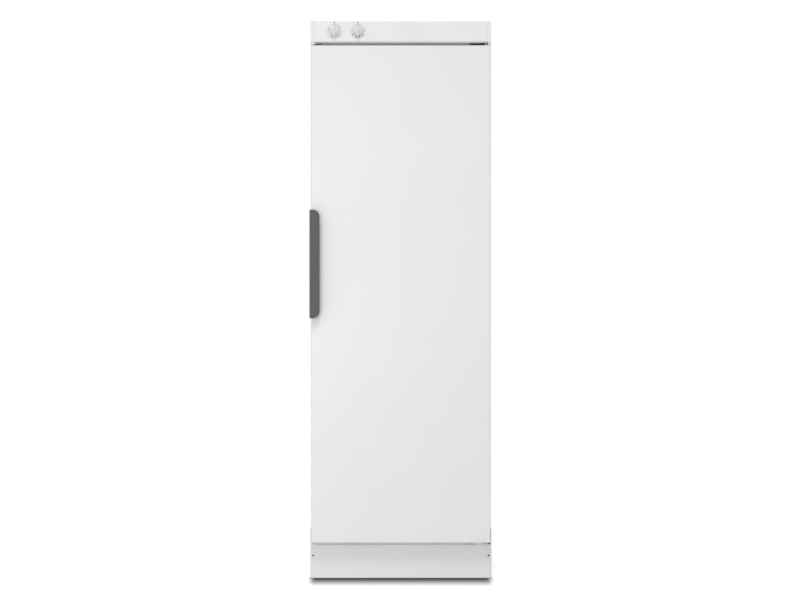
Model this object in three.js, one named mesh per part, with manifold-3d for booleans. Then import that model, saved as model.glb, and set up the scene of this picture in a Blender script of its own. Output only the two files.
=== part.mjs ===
// Free-standing drying cabinet: a tall steel carcass on a plinth, a right-hung door with a gripped
// edge handle, hinged hanging racks inside, and a blower with a heater above the drying chamber.
// Millimetres. +X is to the right of someone facing the door, -Y points at them, +Z is up.
// The origin is on the floor, under the middle of the cabinet.
import * as THREE from 'three';
import { mergeVertices } from 'three/addons/utils/BufferGeometryUtils.js';
import Module from 'manifold-3d';

const wasm = await Module();
wasm.setup();

// ---- Driving dimensions ------------------------------------------------------------------

// Carcass
const cabinetWidth = 595;
const cabinetHeight = 1840;
const cabinetDepth = 610; // from the wall to the front of the door
const sheet = 1; // steel sheet of the carcass, the door and the inner parts
const seatGap = 0.3; // what lies between two pieces that touch
const flangeWidth = 36; // front flange of a side panel, which the door seals on
const flangeLip = 12; // return behind that flange
const rearFlangeWidth = 16;
const swageWidth = 46; // stiffening channel pressed into the back panel
const swageDepth = 6;
const swageOffset = 130; // from the middle of the back to the middle of a channel
const topPanelSkirt = 18;
const sillHeight = 38; // front height of the bottom cross rail
const sillShelf = 24; // depth of its upper face
const sillFoot = 40; // depth of its lower face
const floorRim = 15;
const past = 1; // how far a cutting shape runs past what it cuts
const cornerSteps = 5; // facets of a rounded corner
const pinSides = 16; // facets of pins, shafts and their bores
const boreSides = 20;
const turnedSides = 24; // facets of larger turned pieces
const ductSides = 32;

// Plinth and feet
const plinthHeight = 118;
const plinthSheet = 2;
const plinthSetback = 50; // from the front of the door
const plinthCornerRadius = 9;
const plinthGroundGap = 2; // below the plinth, on retracted feet
const plinthFrontDrop = 4.5; // from the carcass rails down to the plinth's front edge
const plinthTopFold = 16;
const plinthReturn = 6; // straight part behind a round corner
const earRise = 47; // how far the plinth sides lap up the side panels
const earChamfer = 12;
const baseRailWidth = 50;
const baseRailHeight = 36;
const baseRailInset = 62; // from the front and from the wall to the middle of a rail
const footInset = 48; // from the side of the cabinet to the middle of a foot
const footPadRadius = 22;
const footPadHeight = 7;
const footPadChamfer = 1.5;
const footConeReach = 3; // of the cone between the pad and the neck
const footConeHeight = 4;
const footSides = 12;
const footNeckRadius = 9;
const footCollarRadius = 14;
const footCollarHeight = 7;
const footStemRadius = 6;
const footStemLength = 40;
const footSleeveWall = 4;
const footSleeveLength = 45;

// Door
const doorSideInset = 2.5; // from the side of the cabinet to the edge of the door
const doorTopGap = 11; // between the door and the fascia
const doorBottomGap = 3; // between the carcass's lower edge and the door
const doorThickness = 50;
const doorEdgeRadius = 4;
const doorLip = 34; // the skin's return behind the door, which carries the gasket
const doorCapPlate = 2; // thickness of the end caps outside the skin
const doorCapPlug = 31; // how far they reach into the skin
const linerSheet = 1.5;
const linerRise = 6; // the liner's raised field, above the back of the door
const linerEndBorder = 3; // flat border above and below that field
const linerCornerRadius = 14;
const stiffenerWidth = 90;
const stiffenerFoot = 20;
const gasketThickness = 9;
const gasketWidth = 18;
const gasketBase = 4; // thickness of its flat base
const gasketShoulder = 4; // base on each side of the bead
const gasketInset = 14; // from the edge of the door, so that it opens clear of the pins

// Door hinges
const hingeEdge = 14; // from the edge of the door to the pins
const hingeSetback = 20; // from the front of the door to the pins
const hingePinRadius = 3.5;
const hingePinReach = 14; // into the door
const hingePinHead = 5.4;
const hingeHeadBevel = 0.6;
const hingePinTip = 1; // chamfer at a pin's end
const hingeHeadHeight = 1.5;
const hingeClearance = 0.3; // around a pin
const bushWall = 2.2;
const bushFlange = 1.4; // of the upper bush; the lower one fills the gap to its plate
const bushFlangeReach = 1.2;
const hingePlateThickness = 3;
const hingePlateGap = 4; // between the door's top and the plate
const hingePlateLength = 59;
const hingePlateNose = 20;
const hingePlateTail = 38; // what lies on the top rail
const hingePlateMargin = 4.5; // material beside a pin
const hingePlateChamfer = 3;
const bottomPlateEnd = 4; // from its tail to the back of the bottom rail

// Handle
const handleLength = 358;
const handleBottom = 860;
const handleWidth = 34;
const handleProud = 30; // in front of the door
const handleSide = 5.6; // outside the edge of the door
const handleWall = 7;
const handleLeg = 30; // how far it lies along the edge of the door
const handleCornerRadius = 23;
const handleEdgeRadius = 5;
const handleLipRadius = 2;

// Control fascia
const fasciaHeight = 69;
const fasciaWall = 2;
const fasciaHoleClearance = 2; // around a shaft
const fasciaEdgeRadius = 4;
const endCapWidth = 11;
const endCapRise = 1.5; // above the fascia
const endCapDoorGap = 2; // between an end cap and the door
const endCapRadius = 3;
const topRailDrop = 40; // front height of the top cross rail
const topRailShelf = 45;
const topRailLip = 26; // upright behind its shelf, which closes the gap above the door
const sensorWidth = 20;
const sensorHeight = 5.5;
const sensorInset = 14; // from the side of the cabinet
const sensorSetback = 8; // from the front of the door

// Controls
const timerInset = 78.5; // from the left side of the cabinet to the timer's axis
const controlPitch = 77; // from the timer to the selector
const knobRise = 36.6; // from the fascia's lower edge to the axes
const knobRadius = 23.3;
const knobSkirt = 3;
const knobSkirtBevel = 0.8;
const knobBodyRadius = 18.5;
const knobBodyHeight = 12;
const knobFoot = 1.5; // flare where the body meets the skirt
const knobCrown = 3; // rounding of the body's front edge
const knobTaper = 1;
const knobGripWidth = 8;
const knobGripRise = 8; // of the grip above the knob's body
const knobGripReach = 1; // of the grip past the body
const knobGripNose = 6; // length of the grip's pointed end
const knobGripTail = 3; // length of its blunt end
const knobSides = 28;
const knobGap = 1.5; // between a knob and the fascia
const shaftRadius = 3;
const shaftFlat = 1; // depth of the flat on a shaft
const shaftClearance = 0.3;
const shaftGrip = 12; // how far a shaft reaches into its knob
const bracketSheet = 1.5;
const bracketMargin = 8; // beside the controls
const bracketInset = 2; // from the fascia's walls
const bracketFold = 14;
const timerBody = [48, 30, 46]; // width, depth, height
const selectorBody = [34, 26, 38];
const controlPlateDepth = 10; // of the square front of a control's case
const controlRim = 2; // of that front around the round drum behind it
const controlBoreEnd = 4; // from the bore's end to the back of the case
const bushingRadius = 5; // threaded neck of a control, through the bracket
const terminalSize = [0.8, 8, 6.3];

// Hanging racks
const rackDepth = 400;
const rackPivotInset = 45; // from the back panel to the pivots
const rackTopDrop = 65; // from the ceiling to the upper rack
const rackPitch = 455;
const rackWireRadius = 3.5;
const rackSideRadius = 3.1;
const rackRodRadius = 2.5;
const rackRodCount = 8;
const rackFrontRise = 16;
const rackFrontBend = 40;
const rackBendReach = 13; // of a bend, along the wires that meet in it
const wireSides = 8;
const rodSides = 6;
const postStand = 28; // how far a post's web stands off the side panel
const postWeb = 70;
const postFoot = 12;
const postEndGap = 1; // between a post and the floor or ceiling
const postPivotInset = 16; // from the rear edge of a post's web to the pivots
const tabWidth = 12;
const tabThickness = 2;
const tabReach = 16;
const tabInset = 2; // from the front edge of a post

// Blower compartment
const compartmentHeight = 240; // from the ceiling of the chamber to the top of the cabinet
const compartmentRim = 12;
const blowerX = -120;
const blowerY = 20;
const impellerRadius = 60;
const impellerWidth = 54;
const impellerPlate = 1.6;
const bladeCount = 28;
const bladeDepth = 13; // from a blade's root to its tip
const bladeThickness = 1.1;
const bladeSweep = 14; // degrees between a blade's root and its tip
const bladeTipInset = 0.8; // from a blade's tip to the edge of the wheel
const bladeSteps = 3;
const rimInset = 4; // of the rim's bore, outside the blades' roots
const rimReach = 1;
const wheelSides = 36;
const hubLength = 24;
const fanShaftLength = 27; // inside the wheel
const hubRadius = 10;
const fanShaftRadius = 4;
const fanShaftReach = 22; // into the motor
const scrollClearance = 6; // around the impeller where the scroll starts
const scrollGrowth = 30; // from there to the outlet
const scrollWall = 1.2;
const scrollTongueAngle = 300; // degrees round from the outlet's outer wall
const scrollDrop = 88; // from the axis down to the outlet
const scrollSideGap = 5; // between the impeller and the scroll's sides
const inletRadius = 47;
const inletLip = 6;
const inletFlare = 5;
const inletCurl = 2; // of the flare's last part
const scrollSteps = 28;
const fanShaftClearance = 2; // in the scroll's side
const motorRadius = 38;
const motorLength = 44;
const motorBoss = 16;
const motorBossRise = 6;
const motorFlange = 5;
const motorFlangeSheet = 2.5;
const motorBell = 7; // length of the end bell
const motorBellTaper = 5;
const heaterHeight = 42;
const heaterWall = 1.2;
const heaterFlange = 12;
const heaterRodRadius = 4;
const heaterPasses = 4;
const heaterTail = 16;
const heaterBendSteps = 6;
const heaterRodMargin = 5; // from the duct's walls to the rod
const heaterEndMargin = 3;
const thermostatRadius = 8;
const thermostatHeight = 9;
const thermostatFlange = 2;
const thermostatFlangeSheet = 1;
const thermostatTagPitch = 8;

// Air openings
const grilleMargin = 12;
const grilleFrame = 2.5;
const grilleDepth = 8;
const slatInset = 0.5; // from the slats to the faces of the grille
const louvreCount = 7;
const louvreThickness = 1.2;
const louvreAngle = 35;
const exhaustX = 120;
const exhaustInset = 130; // from the wall to the middle of the duct
const exhaustRadius = 62.5;
const exhaustWall = 1;
const exhaustCollarHeight = 30;
const exhaustFlange = 16;
const exhaustFlangeSheet = 1.5;
const exhaustSlots = 7;
const exhaustSlotWidth = 8;

// Glove rack on the inside of the door
const gloveRackZ = 1180;
const gloveRackWidth = 400;
const gloveRailRadius = 3;
const gloveRailStand = 16; // from the liner
const gloveRailPitch = 42; // between the two rails
const gloveEndSpace = 40; // from a rail's end to the first loop
const gloveLoopRadius = 2;
const gloveLoopCount = 6;
const gloveLoopWidth = 34;
const gloveLoopHeight = 120;
const gloveLoopLean = 55; // how far a loop's top leans into the chamber
const gloveLoopBend = 12;

// ---- Places that follow from them --------------------------------------------------------

const halfWidth = cabinetWidth / 2;
const wallY = (cabinetDepth + handleProud) / 2;
const frontY = wallY - cabinetDepth;
const carcassFrontY = frontY + doorThickness + gasketThickness + 2 * seatGap;
const carcassBottom = plinthHeight + seatGap;
const underLidZ = cabinetHeight - sheet - seatGap;
const insideX = halfWidth - sheet - seatGap; // what fits between the side panels
const betweenFlangesX = halfWidth - flangeWidth - seatGap;
const backInnerY = wallY - 2 * sheet - seatGap;
const lipEndY = carcassFrontY + flangeLip + seatGap;
const plinthFrontY = frontY + plinthSetback;
const plinthOuterX = halfWidth + seatGap + plinthSheet;
const fasciaBottom = cabinetHeight - fasciaHeight;
const doorWidth = cabinetWidth - 2 * doorSideInset;
const doorTop = fasciaBottom - doorTopGap;
const doorBottom = plinthHeight + doorBottomGap;
const doorHeight = doorTop - doorBottom;
const doorHalf = doorWidth / 2;
const capReach = doorCapPlate + seatGap + doorCapPlug;
const hingeX = doorHalf - hingeEdge;
const hingeY = frontY + hingeSetback;
const shelfZ = doorTop + hingePlateGap - seatGap; // top of the top cross rail
const topRailBottom = shelfZ - topRailDrop;
const floorZ = carcassBottom + sillHeight + seatGap;
const fasciaHalfWidth = halfWidth - endCapWidth - seatGap;
const timerX = -halfWidth + timerInset;
const selectorX = timerX + controlPitch;
const knobZ = fasciaBottom + knobRise;
const ceilingHeight = cabinetHeight - compartmentHeight;
const upperRackZ = ceilingHeight - rackTopDrop;
const rackLevels = {
  upper: upperRackZ,
  middle: upperRackZ - rackPitch,
  lower: upperRackZ - 2 * rackPitch,
};
const pivotY = backInnerY - rackPivotInset;
const postFrontY = pivotY + postPivotInset - postWeb;
const postWebX = insideX - postStand; // the web's face towards the racks
const rackSideX = postWebX - seatGap - tabReach / 2;
const scrollStart = impellerRadius + scrollClearance;
const scrollEnd = scrollStart + scrollGrowth;
const scrollWidth = impellerWidth + 2 * scrollSideGap;
const ceilingTop = ceilingHeight + sheet;
const blowerZ = ceilingTop + seatGap + heaterHeight + seatGap + scrollDrop;
const tongueY = scrollStart * Math.cos(THREE.MathUtils.degToRad(scrollTongueAngle));
const exhaustY = wallY - exhaustInset;

// ---- Geometry helpers --------------------------------------------------------------------

function polygon(points) {
  return new THREE.Shape(points.map(([x, y]) => new THREE.Vector2(x, y)));
}

function arcPoints(cx, cy, radius, startDegrees, endDegrees, steps) {
  const points = [];
  for (let i = 0; i <= steps; i += 1) {
    const angle = THREE.MathUtils.degToRad(startDegrees + ((endDegrees - startDegrees) * i) / steps);
    points.push([cx + radius * Math.cos(angle), cy + radius * Math.sin(angle)]);
  }
  return points;
}

// The radii are those of the low left, low right, top right and top left corners.
function roundedRectangle(x0, y0, x1, y1, radii) {
  const [lowLeft, lowRight, topRight, topLeft] = radii;
  const corner = (cx, cy, radius, start) => (
    radius > 0 ? arcPoints(cx, cy, radius, start, start + 90, cornerSteps) : [[cx, cy]]
  );
  return polygon([
    ...corner(x0 + lowLeft, y0 + lowLeft, lowLeft, 180),
    ...corner(x1 - lowRight, y0 + lowRight, lowRight, 270),
    ...corner(x1 - topRight, y1 - topRight, topRight, 0),
    ...corner(x0 + topLeft, y1 - topLeft, topLeft, 90),
  ]);
}

// The outline of a sheet that is bent along a path of points, thickened to the path's left.
function bentSheet(path, thickness) {
  const normals = path.slice(1).map(([x, y], i) => {
    const [fromX, fromY] = path[i];
    const length = Math.hypot(x - fromX, y - fromY);
    return [-(y - fromY) / length, (x - fromX) / length];
  });
  const inner = path.map(([x, y], i) => {
    const [ax, ay] = normals[Math.max(i - 1, 0)];
    const [bx, by] = normals[Math.min(i, normals.length - 1)];
    const reach = thickness / (1 + ax * bx + ay * by);
    return [x + (ax + bx) * reach, y + (ay + by) * reach];
  });
  return polygon([...path, ...inner.reverse()]);
}

function extrude(shape, length, curveSegments = 12) {
  return new THREE.ExtrudeGeometry(shape, { depth: length, bevelEnabled: false, curveSegments });
}

// A shape drawn in X and Y, from z0 up to z1.
function alongZ(shape, z0, z1) {
  return extrude(shape, z1 - z0).translate(0, 0, z0);
}

// A shape drawn in Y and Z, from x0 to x1.
function alongX(shape, x0, x1) {
  const turn = new THREE.Matrix4().makeBasis(
    new THREE.Vector3(0, 1, 0),
    new THREE.Vector3(0, 0, 1),
    new THREE.Vector3(1, 0, 0),
  );
  return extrude(shape, x1 - x0).applyMatrix4(turn).translate(x0, 0, 0);
}

// A shape drawn in X and Z, from y0 back to y1.
function alongY(shape, y0, y1) {
  return extrude(shape, y1 - y0).rotateX(Math.PI / 2).translate(0, y1, 0);
}

function block(x0, x1, y0, y1, z0, z1) {
  const middle = [(x0 + x1) / 2, (y0 + y1) / 2, (z0 + z1) / 2];
  return new THREE.BoxGeometry(x1 - x0, y1 - y0, z1 - z0).translate(...middle);
}

// A profile of [radius, height] points, turned round the Z axis.
function turned(profile, segments) {
  const points = profile.map(([radius, height]) => new THREE.Vector2(radius, height));
  return new THREE.LatheGeometry(points, segments).rotateX(Math.PI / 2);
}

function cylinder(radius, z0, z1, segments) {
  return turned([[0, z0], [radius, z0], [radius, z1], [0, z1]], segments);
}

function ring(innerRadius, outerRadius, z0, z1, segments) {
  const profile = [[innerRadius, z0], [outerRadius, z0], [outerRadius, z1], [innerRadius, z1]];
  return turned([...profile, profile[0]], segments);
}

// A curve with one step for each of its points, so that a straight run is a single facet long.
class PointPath extends THREE.Curve {
  constructor(points) {
    super();
    this.points = points;
  }

  indexAt(t) {
    return Math.round(t * (this.points.length - 1));
  }

  getPoint(t) {
    return this.points[this.indexAt(t)].clone();
  }

  getPointAt(t) {
    return this.getPoint(t);
  }

  getSpacedPoints() {
    return this.points.map((point) => point.clone());
  }

  getTangentAt(t) {
    const i = this.indexAt(t);
    const last = this.points.length - 1;
    const directions = [[i - 1, i], [i, i + 1]]
      .filter(([from, to]) => from >= 0 && to <= last)
      .map(([from, to]) => this.points[to].clone().sub(this.points[from]).normalize());
    return directions.reduce((sum, direction) => sum.add(direction)).normalize();
  }
}

// The corners of a route, each one rounded by a bend that starts at the given distance from it.
function roundedRoute(corners, bend, bendSteps) {
  const points = corners.map((corner) => new THREE.Vector3(...corner));
  const route = [points[0]];
  for (let i = 1; i < points.length - 1; i += 1) {
    const toBefore = points[i - 1].clone().sub(points[i]).setLength(bend).add(points[i]);
    const toAfter = points[i + 1].clone().sub(points[i]).setLength(bend).add(points[i]);
    const turn = new THREE.QuadraticBezierCurve3(toBefore, points[i], toAfter);
    route.push(...turn.getPoints(bendSteps));
  }
  route.push(points[points.length - 1]);
  return route;
}

function tubeAlong(points, radius, sides) {
  const section = polygon(arcPoints(0, 0, radius, 0, 360 - 360 / sides, sides - 1));
  return new THREE.ExtrudeGeometry(section, {
    steps: points.length - 1,
    extrudePath: new PointPath(points),
    bevelEnabled: false,
  });
}

// A round wire through the corners, bent round each of them.
function wire(corners, radius, sides, bend = 0, bendSteps = 1) {
  return tubeAlong(roundedRoute(corners, bend, bendSteps), radius, sides);
}

// Only positions, with shared vertices and no collapsed triangles, and with the faces outward.
function welded(geometry) {
  const plain = new THREE.BufferGeometry();
  plain.setAttribute('position', geometry.getAttribute('position').clone());
  plain.setIndex(geometry.getIndex() ? geometry.getIndex().clone() : null);
  const merged = mergeVertices(plain, 1e-4);
  const index = merged.getIndex().array;
  const position = merged.getAttribute('position');
  const corners = [new THREE.Vector3(), new THREE.Vector3(), new THREE.Vector3()];
  const triangles = [];
  let volume = 0;
  for (let i = 0; i < index.length; i += 3) {
    const [a, b, c] = [index[i], index[i + 1], index[i + 2]];
    if (a !== b && b !== c && c !== a) {
      [a, b, c].forEach((vertex, k) => corners[k].fromBufferAttribute(position, vertex));
      volume += corners[0].dot(corners[1].clone().cross(corners[2]));
      triangles.push([a, b, c]);
    }
  }
  const outward = volume > 0 ? triangles : triangles.map(([a, b, c]) => [a, c, b]);
  merged.setIndex(outward.flat());
  return merged;
}

function solidOf(geometry) {
  const closed = welded(geometry);
  return new wasm.Manifold(
    new wasm.Mesh({
      numProp: 3,
      vertProperties: new Float32Array(closed.getAttribute('position').array),
      triVerts: new Uint32Array(closed.getIndex().array),
    }),
  );
}

function geometryOf(solid) {
  const mesh = solid.getMesh();
  const geometry = new THREE.BufferGeometry();
  geometry.setAttribute('position', new THREE.BufferAttribute(new Float32Array(mesh.vertProperties), 3));
  geometry.setIndex(new THREE.BufferAttribute(new Uint32Array(mesh.triVerts), 1));
  return geometry;
}

function join(...pieces) {
  return geometryOf(pieces.map(solidOf).reduce((whole, piece) => whole.add(piece)));
}

function cut(body, ...tools) {
  return geometryOf(tools.map(solidOf).reduce((rest, tool) => rest.subtract(tool), solidOf(body)));
}

function overlapOf(...pieces) {
  return geometryOf(pieces.map(solidOf).reduce((rest, piece) => rest.intersect(piece)));
}

// ---- Finishes ----------------------------------------------------------------------------

const finishes = {
  whiteEnamel: { color: 0xefefed, roughness: 0.35, metalness: 0 },
  plinthEnamel: { color: 0xdddee0, roughness: 0.4, metalness: 0 },
  whitePlastic: { color: 0xebebe9, roughness: 0.4, metalness: 0 },
  knobPlastic: { color: 0xf0f0ee, roughness: 0.3, metalness: 0 },
  greyPlastic: { color: 0x646464, roughness: 0.5, metalness: 0 },
  darkPlastic: { color: 0x3a3a3a, roughness: 0.5, metalness: 0 },
  gasketRubber: { color: 0xd4d4d2, roughness: 0.7, metalness: 0 },
  zincSteel: { color: 0xb8bcc0, roughness: 0.4, metalness: 0.9 },
  darkSteel: { color: 0x4a4c4e, roughness: 0.45, metalness: 0.9 },
  wireWhite: { color: 0xe8e8e6, roughness: 0.4, metalness: 0 },
  heaterSteel: { color: 0x6e6a66, roughness: 0.5, metalness: 0.9 },
  footPlastic: { color: 0x2c2c2c, roughness: 0.6, metalness: 0 },
};

function place(parent, name, geometry, finish, position = [0, 0, 0]) {
  const material = new THREE.MeshStandardMaterial(finishes[finish]);
  const shape = welded(geometry);
  shape.computeVertexNormals();
  const mesh = new THREE.Mesh(shape, material);
  mesh.name = name;
  mesh.position.set(...position);
  parent.add(mesh);
  return mesh;
}

function groupAt(parent, x, y, z) {
  const group = new THREE.Group();
  group.position.set(x, y, z);
  parent.add(group);
  return group;
}

// ---- Carcass -----------------------------------------------------------------------------

function sidePanel(side) {
  const path = [
    [halfWidth - flangeWidth, carcassFrontY + flangeLip],
    [halfWidth - flangeWidth, carcassFrontY],
    [halfWidth, carcassFrontY],
    [halfWidth, wallY],
    [halfWidth - rearFlangeWidth, wallY],
  ];
  const mirrored = path.map(([x, y]) => [side * x, y]);
  return alongZ(bentSheet(mirrored, side * sheet), carcassBottom, underLidZ);
}

// A flat sheet with two channels pressed inwards, held inside the rear flanges.
function backPanel() {
  const outerY = wallY - sheet - seatGap;
  const channel = (centre) => [
    [centre + swageWidth / 2, outerY],
    [centre + swageWidth / 2 - swageDepth, outerY - swageDepth],
    [centre - swageWidth / 2 + swageDepth, outerY - swageDepth],
    [centre - swageWidth / 2, outerY],
  ];
  const path = [[insideX, outerY], ...channel(swageOffset), ...channel(-swageOffset), [-insideX, outerY]];
  return alongZ(bentSheet(path, sheet), carcassBottom, underLidZ);
}

// The outline of an inner sheet that passes between the front flanges and widens behind them.
function innerPlateOutline() {
  const rearY = backInnerY - swageDepth - seatGap;
  return polygon([
    [-betweenFlangesX, carcassFrontY],
    [betweenFlangesX, carcassFrontY],
    [betweenFlangesX, lipEndY],
    [insideX, lipEndY],
    [insideX, rearY],
    [-insideX, rearY],
    [-insideX, lipEndY],
    [-betweenFlangesX, lipEndY],
  ]);
}

// A pan of that outline with upright rims: its hollow leaves the bottom and what stands round it.
function rimmedPan(height, hollowFrontY) {
  const rearY = backInnerY - swageDepth - seatGap;
  const rimX = insideX - sheet;
  const hollow = block(-rimX, rimX, hollowFrontY, rearY - sheet, sheet, height + past);
  return cut(alongZ(innerPlateOutline(), 0, height), hollow);
}

function chamberFloor() {
  return rimmedPan(floorRim, carcassFrontY - past);
}

function heaterOpening(z0, z1) {
  const halfLength = scrollWidth / 2 - scrollWall;
  return block(
    blowerX - halfLength,
    blowerX + halfLength,
    blowerY + tongueY,
    blowerY + scrollEnd,
    z0,
    z1,
  );
}

// Slots whose lengths follow the round mouth of the exhaust duct above them.
function exhaustSlotCuts() {
  const mouth = exhaustRadius - exhaustWall - exhaustSlotWidth;
  const pitch = (2 * mouth) / exhaustSlots;
  const cuts = [];
  for (let i = 0; i < exhaustSlots; i += 1) {
    const offset = (i - (exhaustSlots - 1) / 2) * pitch;
    const reach = Math.sqrt(mouth * mouth - offset * offset);
    const y = exhaustY + offset;
    const edge = exhaustSlotWidth / 2;
    cuts.push(block(exhaustX - reach, exhaustX + reach, y - edge, y + edge, -past, sheet + past));
  }
  return cuts;
}

// The partition: its front is folded up to the top rail, its other rims are low.
function chamberCeiling() {
  const frontHeight = topRailBottom - seatGap - ceilingHeight;
  const pan = rimmedPan(frontHeight, carcassFrontY + sheet);
  const behindFront = carcassFrontY + 2 * sheet;
  const top = frontHeight + past;
  const aboveRims = block(-halfWidth, halfWidth, behindFront, wallY, compartmentRim, top);
  return cut(pan, aboveRims, heaterOpening(-past, sheet + past), ...exhaustSlotCuts());
}

// The lid covers the tops of the sides and the back; its skirt drops inside them.
function topPanel() {
  const rearY = backInnerY - swageDepth - seatGap;
  const rimX = insideX - sheet;
  const skirtEnd = -topPanelSkirt;
  const lid = block(-halfWidth, halfWidth, carcassFrontY, wallY, -sheet, 0);
  const skirt = block(-insideX, insideX, lipEndY, rearY, skirtEnd, -sheet / 2);
  const hollow = block(-rimX, rimX, lipEndY + sheet, rearY - sheet, skirtEnd - past, -sheet);
  const hole = cylinder(exhaustRadius - exhaustWall, skirtEnd, past, ductSides);
  return cut(join(lid, skirt), hollow, hole.translate(exhaustX, exhaustY, 0));
}

function topFrontRail() {
  const path = [
    [carcassFrontY + topRailShelf, shelfZ + topRailLip],
    [carcassFrontY + topRailShelf, shelfZ],
    [carcassFrontY, shelfZ],
    [carcassFrontY, topRailBottom],
    [carcassFrontY + flangeLip, topRailBottom],
  ];
  return alongX(bentSheet(path, sheet), -betweenFlangesX, betweenFlangesX);
}

function bottomFrontRail() {
  const sillZ = carcassBottom + sillHeight;
  const path = [
    [carcassFrontY + sillShelf, sillZ],
    [carcassFrontY, sillZ],
    [carcassFrontY, carcassBottom],
    [carcassFrontY + sillFoot, carcassBottom],
    [carcassFrontY + sillFoot, carcassBottom + flangeLip],
  ];
  return alongX(bentSheet(path, sheet), -betweenFlangesX, betweenFlangesX);
}

function buildCarcass(cabinet) {
  place(cabinet, 'side_panel_left', sidePanel(-1), 'whiteEnamel');
  place(cabinet, 'side_panel_right', sidePanel(1), 'whiteEnamel');
  place(cabinet, 'back_panel', backPanel(), 'zincSteel');
  place(cabinet, 'top_panel', topPanel(), 'whiteEnamel', [0, 0, cabinetHeight]);
  place(cabinet, 'chamber_floor', chamberFloor(), 'whiteEnamel', [0, 0, floorZ]);
  place(cabinet, 'chamber_ceiling', chamberCeiling(), 'whiteEnamel', [0, 0, ceilingHeight]);
  place(cabinet, 'top_front_rail', topFrontRail(), 'whiteEnamel');
  place(cabinet, 'bottom_front_rail', bottomFrontRail(), 'whiteEnamel');
}

// ---- Plinth and feet ---------------------------------------------------------------------

// One bent sheet with round corners at both ends and a fold along its top.
function plinthFront() {
  const r = plinthCornerRadius;
  const returnY = plinthFrontY + r + plinthReturn;
  const top = plinthHeight - plinthFrontDrop;
  const frontPath = [
    [-plinthOuterX, returnY],
    ...arcPoints(-plinthOuterX + r, plinthFrontY + r, r, 180, 270, cornerSteps),
    ...arcPoints(plinthOuterX - r, plinthFrontY + r, r, 270, 360, cornerSteps),
    [plinthOuterX, returnY],
  ];
  const face = alongZ(bentSheet(frontPath, plinthSheet), plinthGroundGap, top);
  const foldEnd = plinthOuterX - r;
  const foldY = plinthFrontY + plinthTopFold;
  const fold = block(-foldEnd, foldEnd, plinthFrontY + plinthSheet / 2, foldY, top - plinthSheet, top);
  return join(face, fold);
}

// A plinth side that laps up the side panel, chamfered at its front top corner.
function plinthSide(side) {
  const startY = plinthFrontY + plinthCornerRadius + plinthReturn + seatGap;
  const top = plinthHeight + earRise;
  const outline = polygon([
    [startY, plinthGroundGap],
    [wallY, plinthGroundGap],
    [wallY, top],
    [startY + earChamfer, top],
    [startY, top - earChamfer],
  ]);
  const innerX = halfWidth + seatGap;
  const [x0, x1] = side > 0 ? [innerX, plinthOuterX] : [-plinthOuterX, -innerX];
  return alongX(outline, x0, x1);
}

function baseRail() {
  const edge = baseRailWidth / 2;
  const path = [
    [edge, -baseRailHeight],
    [edge, 0],
    [-edge, 0],
    [-edge, -baseRailHeight],
  ];
  const channel = alongX(bentSheet(path, 2 * sheet), -halfWidth, halfWidth);
  const footX = halfWidth - footInset;
  const bore = footStemRadius + seatGap;
  const sleeves = [-footX, footX].map((x) => (
    cylinder(bore + footSleeveWall, -footSleeveLength, -sheet, pinSides).translate(x, 0, 0)
  ));
  const bores = [-footX, footX].map((x) => (
    cylinder(bore, -footSleeveLength - past, past, pinSides).translate(x, 0, 0)
  ));
  return cut(join(channel, ...sleeves), ...bores);
}

function levellingFoot() {
  const collarTop = plinthHeight - footSleeveLength - seatGap;
  return turned([
    [0, 0],
    [footPadRadius - footPadChamfer, 0],
    [footPadRadius, footPadChamfer],
    [footPadRadius, footPadHeight - footPadChamfer],
    [footNeckRadius + footConeReach, footPadHeight],
    [footNeckRadius, footPadHeight + footConeHeight],
    [footNeckRadius, collarTop - footCollarHeight],
    [footCollarRadius, collarTop - footCollarHeight],
    [footCollarRadius, collarTop],
    [footStemRadius, collarTop],
    [footStemRadius, collarTop + footStemLength],
    [0, collarTop + footStemLength],
  ], footSides);
}

function buildPlinth(cabinet) {
  place(cabinet, 'plinth_front', plinthFront(), 'plinthEnamel');
  place(cabinet, 'plinth_side_left', plinthSide(-1), 'plinthEnamel');
  place(cabinet, 'plinth_side_right', plinthSide(1), 'plinthEnamel');
  const railY = { front: carcassFrontY + baseRailInset, rear: wallY - baseRailInset };
  for (const [end, y] of Object.entries(railY)) {
    place(cabinet, `base_rail_${end}`, baseRail(), 'zincSteel', [0, y, plinthHeight]);
    for (const [hand, side] of [['left', -1], ['right', 1]]) {
      const foot = groupAt(cabinet, side * (halfWidth - footInset), y, 0);
      place(foot, `levelling_foot_${end}_${hand}`, levellingFoot(), 'footPlastic');
    }
  }
}

// ---- Door hinges -------------------------------------------------------------------------

// A flat hinge plate: its nose carries the pin, its tail lies between the carcass flanges.
function hingePlate(tailEndY) {
  const right = hingePlateMargin;
  const left = right - hingePlateLength;
  const nose = hingePinRadius + hingePlateMargin;
  const shoulder = carcassFrontY - seatGap - hingeY;
  const tailRight = betweenFlangesX - seatGap - hingeX;
  const plate = alongZ(polygon([
    [right, -nose + hingePlateChamfer],
    [right - hingePlateChamfer, -nose],
    [right - hingePlateNose, -nose],
    [left, shoulder],
    [left, tailEndY - hingeY],
    [tailRight, tailEndY - hingeY],
    [tailRight, shoulder],
    [right, shoulder],
  ]), 0, hingePlateThickness);
  const bore = cylinder(hingePinRadius + hingeClearance, -past, hingePlateThickness + past, boreSides);
  return cut(plate, bore);
}

// Turned pin: its head lies on the plate and its shank points down from z = 0.
function topHingePin() {
  const top = hingePlateThickness + seatGap;
  const end = -hingePlateGap - hingePinReach;
  return turned([
    [0, end],
    [hingePinRadius - hingePinTip, end],
    [hingePinRadius, end + hingePinTip],
    [hingePinRadius, top],
    [hingePinHead, top],
    [hingePinHead - hingeHeadBevel, top + hingeHeadHeight],
    [0, top + hingeHeadHeight],
  ], pinSides);
}

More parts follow.
